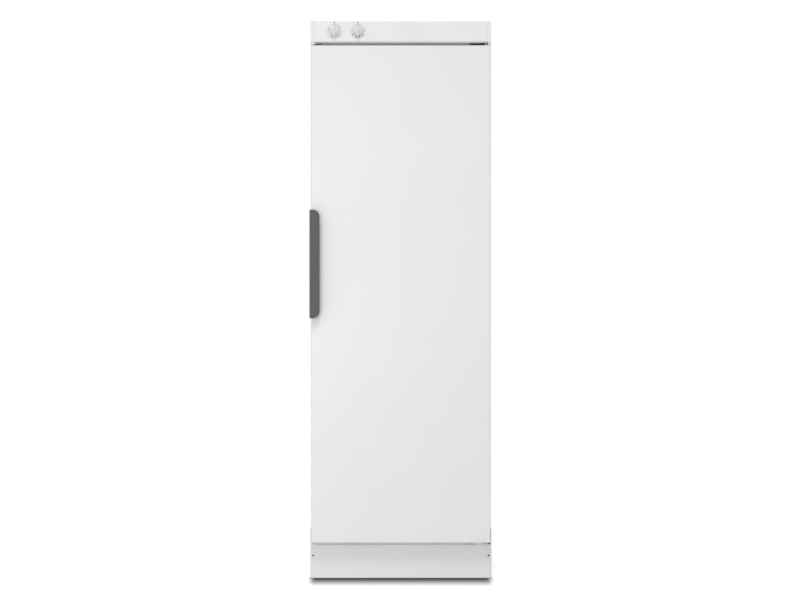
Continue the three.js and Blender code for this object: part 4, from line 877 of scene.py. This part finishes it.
low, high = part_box("plinth_front")
plinth = start_path(
    "plinth_face",
    [
        (low.x, high.y, low.z), (low.x, low.y, low.z),
        (high.x, low.y, low.z), (high.x, high.y, low.z),
    ],
)
with editing(plinth):
    bpy.ops.mesh.bevel(affect="VERTICES", offset=PLINTH_CORNER, segments=6)
    bpy.ops.mesh.select_all(action="SELECT")
    pull((0, 0, high.z - low.z))
    pick(plinth, "EDGE", lambda e: lies_at(e, z=high.z) and e.calc_length() > LONG)
    pull((0, FOLD, 0))
    round_off(plinth, FOLD_BEND, 3,
              lambda e: lies_at(e, y=low.y, z=high.z) and e.calc_length() > LONG)
    face_away(plinth, (0, 0, high.z / 2))
finish_with(plinth, "SOLIDIFY", thickness=PLINTH_SHEET, offset=-1, use_even_offset=True)
smooth(plinth)
done(plinth, "cabinet", plinth_coat, "plinth_front")

# %% [markdown]
# A plinth side is a flat plate, cut away at its upper front corner. Its ear has a narrow fold
# along the front, which is made of two boxes, each with its own depth, and joined on.

# %% Plinth sides
SIDE_CUT = 0.012
PLINTH_HALF = 0.2998  # half the plinth's width
EAR_LOW, EAR_HIGH, EAR_FRONT, EAR_CHAMFER = 0.1140, 0.1635, -0.2327, 0.0018
EAR_FOLDS = ((0.0042, -0.2307), (0.0020, -0.2240))  # how wide, and where each ends at the back

for hand, side in HANDS.items():
    low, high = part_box(f"plinth_side_{hand}")
    cheek = start_cube(f"plinth_cheek_{hand}", low, high)
    with editing(cheek):
        round_off(cheek, SIDE_CUT, 1,
                  lambda e: runs_along(e, 0) and lies_at(e, y=low.y, z=high.z))
    outer = side * PLINTH_HALF
    for width, rear in EAR_FOLDS:
        x_low, x_high = sorted((outer - side * width, outer))
        fold = start_cube("ear_fold", (x_low, EAR_FRONT, EAR_LOW), (x_high, rear, EAR_HIGH))
        with editing(fold):
            round_off(fold, EAR_CHAMFER, 1,
                      lambda e: runs_along(e, 1) and lies_at(e, x=outer, z=EAR_HIGH))
        carve(cheek, fold, "UNION")
    break_edges(cheek, 0.0006, degrees=30)
    smooth(cheek)
    done(cheek, "cabinet", plinth_coat, f"plinth_side_{hand}")

# %% [markdown]
# ## Rails and feet below
# Two channels carry the case, and four nylon feet screw up into them. A foot is a turned piece,
# made once and copied to the four corners, each copy with its own mesh.

# %% Base rails
dress(
    "cabinet", galvanised, SHEET_EDGE, base_channel_front="base_rail_front",
    base_channel_rear="base_rail_rear",
)

# %% Levelling feet
STEM = 0.040  # the thread above the collar
NECK_TOP = 0.0657

low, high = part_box("levelling_foot_front_left")
foot_centre = Vector(((low.x + high.x) / 2, (low.y + high.y) / 2, 0))
collar_top = high.z - STEM
master_foot = turned(
    "adjuster",
    [
        (0, 0), (0.0190, 0), (0.0210, 0.0006), (0.0220, 0.0022), (0.0220, 0.0048),
        (0.0205, 0.0062), (0.0120, 0.0074), (0.0095, 0.0098), (0.0090, 0.0125),
        (0.0090, NECK_TOP), (0.0135, NECK_TOP), (0.0140, NECK_TOP + 0.0006),
        (0.0140, collar_top - 0.0006), (0.0135, collar_top), (0.0060, collar_top),
        (0.0060, high.z - 0.001), (0.0050, high.z), (0, high.z),
    ],
    foot_centre, (0, 0, 1), steps=32,
)
smooth(master_foot)
for corner in ("front_left", "front_right", "rear_left", "rear_right"):
    foot = copy_of(f"adjuster_{corner}", master_foot.data)
    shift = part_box(f"levelling_foot_{corner}")[0] - low
    foot.data.transform(Matrix.Translation(shift))
    done(foot, f"foot_{corner}", foot_plastic, f"levelling_foot_{corner}")
bpy.data.objects.remove(master_foot)

# %% [markdown]
# ## The strip of controls
# The strip is a channel of moulded plastic between two end caps. Its front edges are rounded, and
# two holes let the shafts of the timer and the selector through.

# %% Control strip
STRIP_WALL, STRIP_EDGE = 0.002, 0.004
SHAFT_HOLE = 0.005

low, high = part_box("control_fascia")
section = [(high.y, low.z), (low.y, low.z), (low.y, high.z), (high.y, high.z)]
strip = folded_sheet(
    "control_strip", [(low.x, y, z) for y, z in section],
    (high.x - low.x, 0, 0), STRIP_WALL, inside=(0, high.y, (low.z + high.z) / 2),
    bend=STRIP_EDGE, steps=5,
)
dials = {"timer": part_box("timer_knob"), "selector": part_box("selector_knob")}
dial_centre = {
    name: Vector(((a.x + b.x) / 2, b.y, (a.z + b.z) / 2)) for name, (a, b) in dials.items()
}
for centre in dial_centre.values():
    hole = turned(
        "shaft_hole", [(0, -PAST), (SHAFT_HOLE, -PAST), (SHAFT_HOLE, PAST), (0, PAST)],
        (centre.x, low.y, centre.z), (0, 1, 0), steps=32,
    )
    carve(strip, hole)
smooth(strip)
done(strip, "cabinet", strip_plastic, "control_fascia")

# %% [markdown]
# An end cap is a block with round front edges that reaches lower than the strip and stands back
# there. The left one has a small tab in the gap above the door.

# %% End caps
STEP_BACK, CAP_EDGE = 0.004, 0.003
TAB_ROOT, TAB_REACH = 0.002, 0.0026  # inside the cap, and beside it
TAB_BACK, TAB_PLAY = 0.020, 0.0008

strip_front, strip_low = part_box("control_fascia")[0].yz
for hand in HANDS:
    low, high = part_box(f"fascia_end_cap_{hand}")
    cap = start_cube(f"strip_end_{hand}", low, high)
    step = start_cube(
        "step", (low.x - PAST, low.y - PAST, low.z - PAST),
        (high.x + PAST, low.y + STEP_BACK, strip_low),
    )
    carve(cap, step)
    with editing(cap):
        round_off(cap, CAP_EDGE, 5, lambda e: runs_along(e, 0)
                  and middle(e).y < low.y + STEP_BACK + 1e-5 and not lies_at(e, z=strip_low))
    if hand == "left":
        tab = start_cube(
            "tab", (high.x - TAB_ROOT, low.y + STEP_BACK, low.z + TAB_PLAY),
            (high.x + TAB_REACH, low.y + TAB_BACK, strip_low - TAB_PLAY),
        )
        carve(cap, tab, "UNION")
    break_edges(cap, 0.0006)
    smooth(cap)
    done(cap, "cabinet", strip_plastic, f"fascia_end_cap_{hand}")

# %% [markdown]
# A knob is a thin round skirt with a domed drum on it and a bar across the drum to turn it by.
# Skirt and drum are turned in one profile, with the bore for the shaft at the back. The bar starts
# as a box that narrows to the front and to its upper end, and is joined on.

# %% Knobs
KNOB_PROFILE = [
    (0, 0.0100), (0.0033, 0.0100), (0.0033, 0), (0.0228, 0), (0.0233, 0.0003), (0.0233, 0.0011),
    (0.0229, 0.0017), (0.0222, 0.0020), (0.0172, 0.0022), (0.0166, 0.0028), (0.0160, 0.0060),
    (0.0153, 0.0080), (0.0140, 0.0100), (0.0120, 0.0118), (0.0090, 0.0134), (0.0050, 0.0145),
    (0, 0.0149),
]
BAR_TIP, BAR_ROOT = 0.023, 0.0042  # how far in front of the knob's back
BAR_HALF, BAR_REACH = 0.0045, 0.0190  # half its width, half its length
BAR_TAPER, TIP_SHORTER = 0.62, 0.84

for name, centre in dial_centre.items():
    knob = turned(f"{name}_dial_knob", KNOB_PROFILE, centre, (0, -1, 0), steps=64)
    bar = start_cube(
        "bar", centre + Vector((-BAR_HALF, -BAR_TIP, -BAR_REACH)),
        centre + Vector((BAR_HALF, -BAR_ROOT, BAR_REACH)),
    )
    with editing(bar):
        pick(bar, "FACE", lambda f: lies_at(f, y=centre.y - BAR_TIP))
        bpy.ops.transform.resize(value=(BAR_TAPER, 1, TIP_SHORTER), center_override=centre)
        pick(bar, "FACE", lambda f: middle(f).z > centre.z + BAR_REACH / 2)
        bpy.ops.transform.resize(value=(BAR_TAPER, 1, 1), center_override=centre)
        round_off(bar, 0.0016, 4, lambda e: abs(e.verts[0].co.y - e.verts[1].co.y) > 0.01)
        round_off(bar, 0.0008, 3, lambda e: all(near(v.co.y, centre.y - BAR_TIP) for v in e.verts))
    carve(knob, bar, "UNION")
    smooth(knob, 35)
    done(knob, f"{name}_dial", knob_plastic, f"{name}_knob")

# %% [markdown]
# Numbers are printed round each skirt, and two dots show the setting: one on the strip and one on
# the knob. Text is made a mesh and laid on the skirt, turned with the radius it stands on.

# %% Numbers and dots
INK = 0.00006  # how thick a number is
MARK_CIRCLE, POINTER_CIRCLE, INDEX_CIRCLE = 0.0201, 0.0207, 0.0276
POINTER, INDEX = (0.0014, 0.00008), (0.0020, 0.0001)  # radius and depth of a dot
SKIRT_FRONT = 0.00212
MARKS = {  # ink, height, weight, and the angle of each number
    "timer": (pale_ink, 0.0048, 0.0002, {"30": 57, "60": 140, "90": 202, "120": 284}),
    "selector": (mark_ink, 0.0071, 0.0003, {"1": 90, "2": 129, "3": 165, "4": 197, "5": 232}),
}


def dot(name, centre, radius, depth):
    """A printed dot that faces the front."""
    profile = [(0, 0), (radius, 0), (radius, depth * 0.6), (radius * 0.8, depth), (0, depth)]
    return turned(name, profile, centre, (0, -1, 0), steps=24)


def printed(label, centre, degrees, height, weight):
    """A number on the skirt, at an angle clockwise from the top."""
    choose()
    bpy.ops.object.text_add()
    text = bpy.context.object
    text.data.body = label
    text.data.size = height
    text.data.align_x = "CENTER"
    text.data.align_y = "CENTER"
    text.data.extrude = INK
    text.data.offset = weight
    text.data.resolution_u = 3
    bpy.ops.object.convert(target="MESH")
    text = bpy.context.object
    stand = Matrix.Rotation(math.pi / 2, 4, "X")
    turn = Matrix.Rotation(math.radians(degrees), 4, "Y")
    lift = Matrix.Translation((0, 0, MARK_CIRCLE))
    text.data.transform(Matrix.Translation(centre) @ turn @ lift @ stand)
    return text


for name, (ink, height, weight, labels) in MARKS.items():
    centre = dial_centre[name] + Vector((0, -SKIRT_FRONT, 0))
    numbers = [printed(label, centre, at, height, weight) for label, at in labels.items()]
    numbers.append(dot("pointer", centre + Vector((0, 0, POINTER_CIRCLE)), *POINTER))
    choose(*numbers)
    bpy.ops.object.join()
    numbers[0].name = numbers[0].data.name = f"{name}_numbers"
    done(numbers[0], f"{name}_dial", ink)
    above = (dial_centre[name].x, strip_front, dial_centre[name].z + INDEX_CIRCLE)
    done(dot(f"{name}_index_dot", above, *INDEX), "cabinet", mark_ink)

# %% [markdown]
# Behind the strip are the cases of the timer and the selector on their bracket, each with its
# shaft, and below it the sensor that feels the door. Their shapes are right as they are.

# %% Parts behind the strip
dress("cabinet", dark_plastic, 0, timer_case="timer_unit", selector_case="selector_unit")
dress("cabinet", galvanised, SHEET_EDGE, dial_bracket="control_bracket")
dress("cabinet", sensor_plastic, 0.0005, door_feeler="door_sensor")
dress("timer_dial", bright_zinc, 0, timer_rod="timer_shaft")
dress("selector_dial", bright_zinc, 0, selector_rod="selector_shaft")

# %% [markdown]
# ## Hinges
# Two plates reach forward from the case and carry the pins that the door turns on: a dark one in
# the gap above the door, and one below it that wears the plinth's coat. A white flanged bush in
# the door's end runs on each pin.

# %% Hinges
dress("cabinet", dark_coat, SHEET_EDGE, hinge_plate_above="top_hinge_plate")
dress("cabinet", plinth_coat, SHEET_EDGE, hinge_plate_below="bottom_hinge_plate")
dress(
    "cabinet", bright_zinc, 0, hinge_pin_above="top_hinge_pin", hinge_pin_below="bottom_hinge_pin"
)
dress("door", knob_plastic, 0, door_bush_above="hinge_bush_top")

# %% [markdown]
# The lower bush fills the gap between the door's end and its plate with a thin neck, so it is
# turned anew with an eased lower edge.

# %% Lower bush
BUSH_BORE, BUSH_NECK, BUSH_BODY = 0.0038, 0.0050, 0.0060  # radii
NECK_LENGTH, NECK_EASE = 0.0026, 0.0003

low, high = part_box("hinge_bush_bottom")
neck_end = low.z + NECK_LENGTH
bush = turned(
    "door_bush_below",
    [
        (BUSH_BORE, low.z), (BUSH_NECK - NECK_EASE, low.z), (BUSH_NECK, low.z + NECK_EASE),
        (BUSH_NECK, neck_end), (BUSH_BODY, neck_end), (BUSH_BODY, high.z),
        (BUSH_BORE, high.z), (BUSH_BORE, low.z),
    ],
    ((low.x + high.x) / 2, (low.y + high.y) / 2, 0), (0, 0, 1), steps=32,
)
smooth(bush)
done(bush, "door", knob_plastic, "hinge_bush_bottom")

# %% [markdown]
# A narrow lip hangs below the control strip and closes the gap above the door from behind, so the
# gap looks grey and not black. In front of it a thin white return runs under the strip. The plinth
# has such a lip too, which rises to just below the door. Both lips are cut out round the hinge
# plates. The upper plate's tip wears a white cap, and the lower plate has a thin pad.

# %% Trim in the gaps
PLATE_PLAY, PLATE_ROOM = 0.0008, 0.0004  # round a hinge plate: beside it, and above it


def trim(name, low, high, finish, edge, steps=2, plate=None):
    """A thin box with broken edges, cut out round a hinge plate if it meets one."""
    piece = start_cube(name, low, high)
    if plate:
        plate_low, plate_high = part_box(plate)
        slot = start_cube(
            "slot", (plate_low.x - PLATE_PLAY, low[1] - PAST, low[2] - PAST),
            (high[0] + PAST, high[1] + PAST, plate_high.z + PLATE_ROOM),
        )
        carve(piece, slot)
    break_edges(piece, edge, steps=steps)
    smooth(piece)
    done(piece, "cabinet", finish)


RETURN_HALF, RETURN_FRONT, RETURN_DROP = 0.2855, -0.2885, 0.0014
LIP_LEFT, LIP_RIGHT, LIP_DROP = -0.2625, 0.2640, 0.0078
LIP_FRONT, LIP_BACK = -0.2700, -0.2680
trim(
    "gap_lip", (LIP_LEFT, LIP_FRONT, strip_low - LIP_DROP), (LIP_RIGHT, LIP_BACK, strip_low),
    seal_plastic, 0.0006, plate="top_hinge_plate",
)
trim(
    "strip_return", (-RETURN_HALF, RETURN_FRONT, strip_low - RETURN_DROP),
    (RETURN_HALF, LIP_FRONT, strip_low), strip_plastic, 0.0004,
)

SILL_LEFT, SILL_RIGHT, SILL_TOP = -0.2975, 0.2680, 0.1207
SILL_BACK, SILL_DEPTH = 0.0025, 0.0020  # behind the plinth's face, and front to back
face_low, face_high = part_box("plinth_front")
sill_front = face_low.y + SILL_BACK
trim(
    "plinth_lip", (SILL_LEFT, sill_front, face_high.z),
    (SILL_RIGHT, sill_front + SILL_DEPTH, SILL_TOP),
    plinth_coat, 0.0005, plate="bottom_hinge_plate",
)

PAD_INSET, PAD_SHORTER, PAD_BACK, PAD_TOP = 0.0004, 0.0160, -0.2450, 0.1203
low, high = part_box("bottom_hinge_plate")
trim(
    "hinge_plate_pad", (low.x, low.y + PAD_INSET, high.z),
    (high.x - PAD_SHORTER, PAD_BACK, PAD_TOP), plinth_coat, 0.0005,
)

TIP_FROM, TIP_TO, TIP_LENGTH = 0.0066, 0.0032, 0.020  # from the plate's right edge; its length
TIP_FRONT, TIP_BELOW, TIP_ABOVE = 0.001, 0.0015, 0.0020  # past the plate
low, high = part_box("top_hinge_plate")
trim(
    "hinge_tip_cap", (high.x - TIP_FROM, low.y - TIP_FRONT, low.z - TIP_BELOW),
    (high.x - TIP_TO, low.y + TIP_LENGTH, high.z + TIP_ABOVE), knob_plastic, 0.0012, steps=3,
)

# %% [markdown]
# ## Hanging racks
# Each rack is a comb of coated wire: a pivot wire at the back, a front wire that is lifted a
# little so that hangers can't slide off, and rods between them with the same knee near the front.
# One rack is made and copied to the other levels.

# %% Racks
CROSS_WIRE, SIDE_WIRE, ROD_WIRE = 0.0035, 0.0031, 0.0025  # radii
PIVOT_X, PIVOT_Y = 0.2822, 0.2727
SIDE_X, KNEE_Y, TIP_Y, TIP_RISE, KNEE_BEND = 0.2599, -0.0873, -0.1273, 0.016, 0.013
RODS = 8
RACK_LEVEL, RACK_PITCH = 1.535, 0.455

tip_z = RACK_LEVEL + TIP_RISE
first_rack = wires(
    "rack_fixed",
    [
        [(-PIVOT_X, PIVOT_Y, RACK_LEVEL), (PIVOT_X, PIVOT_Y, RACK_LEVEL)],
        [(-SIDE_X, TIP_Y, tip_z), (SIDE_X, TIP_Y, tip_z)],
    ],
    CROSS_WIRE,
)
routes = []
for i in range(RODS + 2):
    x = SIDE_X * (2 * i / (RODS + 1) - 1)
    routes.append([(x, PIVOT_Y, RACK_LEVEL), (x, KNEE_Y, RACK_LEVEL), (x, TIP_Y, tip_z)])
sides = wires("sides", [routes[0], routes[-1]], SIDE_WIRE, bend=KNEE_BEND, steps=3)
rods = wires("rods", routes[1:-1], ROD_WIRE, bend=KNEE_BEND, steps=3, resolution=2)
choose(first_rack, sides, rods)
bpy.ops.object.join()
smooth(first_rack, 50)
done(first_rack, "cabinet", wire_coat, "rack_upper")
for level, place in enumerate(("middle", "lower"), start=1):
    lower_rack = copy_of(f"rack_folding_{place}", first_rack.data)
    lower_rack.data.transform(Matrix.Translation((0, 0, -level * RACK_PITCH)))
    done(lower_rack, f"{place}_rack", wire_coat, f"rack_{place}")

# %% [markdown]
# The racks hang between two posts that are folded like a hat, with a hole for each pivot and a
# small tab that stops a folded rack. Their edges lie too close together for a bevel.

# %% Rack posts
dress("cabinet", wire_coat, 0, post_left="rack_post_left", post_right="rack_post_right")

# %% [markdown]
# ## Air and heat
# Above the ceiling a blower draws air in and pushes it down past a heating rod, through a grille,
# into the drying space. These parts are hidden in normal use, so their solid shapes are kept and
# cleaned up. The hat-shaped channel that stiffens the door is one of them.

# %% Blower and heater
dress("cabinet", galvanised, 0, blower_scroll="fan_housing", blower_inlet="fan_inlet_plate")
dress("cabinet", dark_coat, 0.0008, blower_motor="fan_motor")
dress("impeller", galvanised, 0, blower_wheel="fan_impeller")
dress("cabinet", galvanised, SHEET_EDGE, heater_duct="heater_frame")
dress("cabinet", tinted_steel, 0, heater_rod="heater_element")
dress("cabinet", dark_plastic, 0, snap_thermostat="thermostat")
dress("cabinet", strip_plastic, SHEET_EDGE, warm_air_grille="air_grille")
dress("door", galvanised, SHEET_EDGE, door_channel="door_stiffener")

# %% [markdown]
# Damp air leaves by the slots below the round duct and through the collar on the lid. Both are
# spun from sheet: a flat flange that bends up into a tube. The collar has a bead near its end,
# which holds the hose that is pushed over it.

# %% Exhaust duct and collar
BORE, TUBE, FLANGE, FLANGE_SHEET = 0.0615, 0.0625, 0.0785, 0.0015

low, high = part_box("exhaust_duct")
duct_centre = Vector(((low.x + high.x) / 2, (low.y + high.y) / 2, 0))
flange_top = low.z + FLANGE_SHEET
duct = turned(
    "damp_air_duct",
    [
        (BORE, low.z), (FLANGE, low.z), (FLANGE, flange_top), (0.0640, flange_top),
        (TUBE, low.z + 0.0030), (TUBE, high.z), (BORE, high.z), (BORE, low.z),
    ],
    duct_centre, (0, 0, 1), steps=64,
)
smooth(duct)
done(duct, "cabinet", galvanised, "exhaust_duct")
low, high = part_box("exhaust_collar")
collar_flange_top = low.z + FLANGE_SHEET
collar = turned(
    "lid_collar",
    [
        (BORE, low.z), (FLANGE - 0.0003, low.z), (FLANGE, low.z + 0.0004),
        (FLANGE - 0.0003, collar_flange_top), (0.0650, collar_flange_top),
        (0.0632, low.z + 0.0022), (TUBE, low.z + 0.0040), (TUBE, low.z + 0.0190),
        (0.0634, low.z + 0.0200), (0.0638, low.z + 0.0212), (0.0634, low.z + 0.0224),
        (TUBE, low.z + 0.0234), (TUBE, high.z - 0.0010), (0.0622, high.z), (0.0617, high.z),
        (BORE, high.z - 0.0006), (BORE, low.z),
    ],
    duct_centre, (0, 0, 1), steps=64,
)
smooth(collar)
done(collar, "cabinet", galvanised, "exhaust_collar")

# %% [markdown]
# ## Screws and rivets
# One pan-head screw is turned, given a cross recess, and copied wherever the case is screwed
# together. The two in the plinth are the dark dots beside its corners. Blind rivets with a flat
# dome hold the back to the pans of the drying space.

# %% One screw and one rivet
RECESS_LONG, RECESS_SHORT, RECESS_FLOOR, RECESS_TOP = 0.0021, 0.0005, 0.0009, 0.003

screw = turned(
    "pan_head_screw",
    [(0, 0), (0.0040, 0), (0.0040, 0.0006), (0.0036, 0.0014), (0.0026, 0.0020), (0, 0.0022)],
    (0, 0, 0), (0, 0, 1), steps=24,
)
for x, y in ((RECESS_LONG, RECESS_SHORT), (RECESS_SHORT, RECESS_LONG)):
    carve(screw, start_cube("recess", (-x, -y, RECESS_FLOOR), (x, y, RECESS_TOP)))
smooth(screw)
rivet = turned(
    "blind_rivet",
    [
        (0, 0), (0.0032, 0), (0.0032, 0.0002), (0.0022, 0.0009), (0.0009, 0.0010),
        (0.0008, 0.0006), (0, 0.0006),
    ],
    (0, 0, 0), (0, 0, 1), steps=16,
)
smooth(rivet)


def fasten(name, master, spots, way, finish, scale=1.0):
    """Copies of a fastener at these spots, facing one way, in one piece on the case."""
    turn = Vector((0, 0, 1)).rotation_difference(Vector(way)).to_matrix().to_4x4()
    copies = []
    for spot in spots:
        head = copy_of(name, master.data)
        head.data.transform(Matrix.Translation(spot) @ turn @ Matrix.Scale(scale, 4))
        copies.append(head)
    choose(*copies)
    bpy.ops.object.join()
    copies[0].data.name = name
    done(copies[0], "cabinet", finish)


# %% [markdown]
# Screws sit on the faces of the pieces that they hold, so most places follow from the boxes of
# those pieces. A fastener that is smaller than the master is a scaled copy.

# %% Screws in their places
UP, DOWN, FRONT, BACK = (0, 0, 1), (0, 0, -1), (0, -1, 0), (0, 1, 0)
PLINTH_X, PLINTH_Z = 0.2903, 0.0760
COLLAR_CIRCLE = 0.0710
HINGE_SPOTS = [(0.2360, -0.2080), (0.2520, -0.2080), (0.2440, -0.2240)]
POST_SHEET = 0.001

plinth_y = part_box("plinth_front")[0].y + 0.0002
fasten(
    "plinth_screws", screw, [(x, plinth_y, PLINTH_Z) for x in (-PLINTH_X, PLINTH_X)],
    FRONT, black_screw, 0.75,
)
lid_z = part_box("top_panel")[1].z
fasten(
    "lid_screws", screw,
    [(x, y, lid_z) for x in (-0.288, 0.288) for y in (-0.19, 0.06, 0.29)], UP, bright_zinc,
)
eighths = [math.pi / 4 * k for k in (1, 3, 5, 7)]
on_circle = [(COLLAR_CIRCLE * math.cos(a), COLLAR_CIRCLE * math.sin(a)) for a in eighths]
fasten(
    "collar_screws", screw,
    [(duct_centre.x + x, duct_centre.y + y, collar_flange_top) for x, y in on_circle],
    UP, bright_zinc, 0.8,
)
plate_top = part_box("top_hinge_plate")[1].z
plate_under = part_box("bottom_hinge_plate")[0].z
fasten(
    "hinge_screws_above", screw, [(x, y, plate_top) for x, y in HINGE_SPOTS], UP, bright_zinc
)
fasten(
    "hinge_screws_below", screw, [(x, y, plate_under) for x, y in HINGE_SPOTS[:2]],
    DOWN, bright_zinc, 0.5,
)
back_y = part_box("back_panel")[1].y
rivet_x = (-0.26, -0.195, -0.065, 0.065, 0.195, 0.26)
fasten(
    "back_rivets", rivet, [(x, back_y, z) for z in (0.165, 1.608) for x in rivet_x],
    BACK, bright_zinc,
)
post_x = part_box("rack_post_right")[1].x - POST_SHEET
post_spots = [(y, z) for y in (0.2125, 0.2948) for z in (0.26, 0.80, 1.30, 1.57)]
for hand, side in HANDS.items():
    fasten(
        f"post_screws_{hand}", screw, [(side * post_x, y, z) for y, z in post_spots],
        (-side, 0, 0), bright_zinc, 0.75,
    )
bpy.data.objects.remove(screw)
bpy.data.objects.remove(rivet)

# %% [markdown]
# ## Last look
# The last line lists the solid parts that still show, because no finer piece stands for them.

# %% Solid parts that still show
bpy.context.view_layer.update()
left = sorted(n for n, o in nodes.items() if not o.hide_render)
print("solid parts that still show:", left)
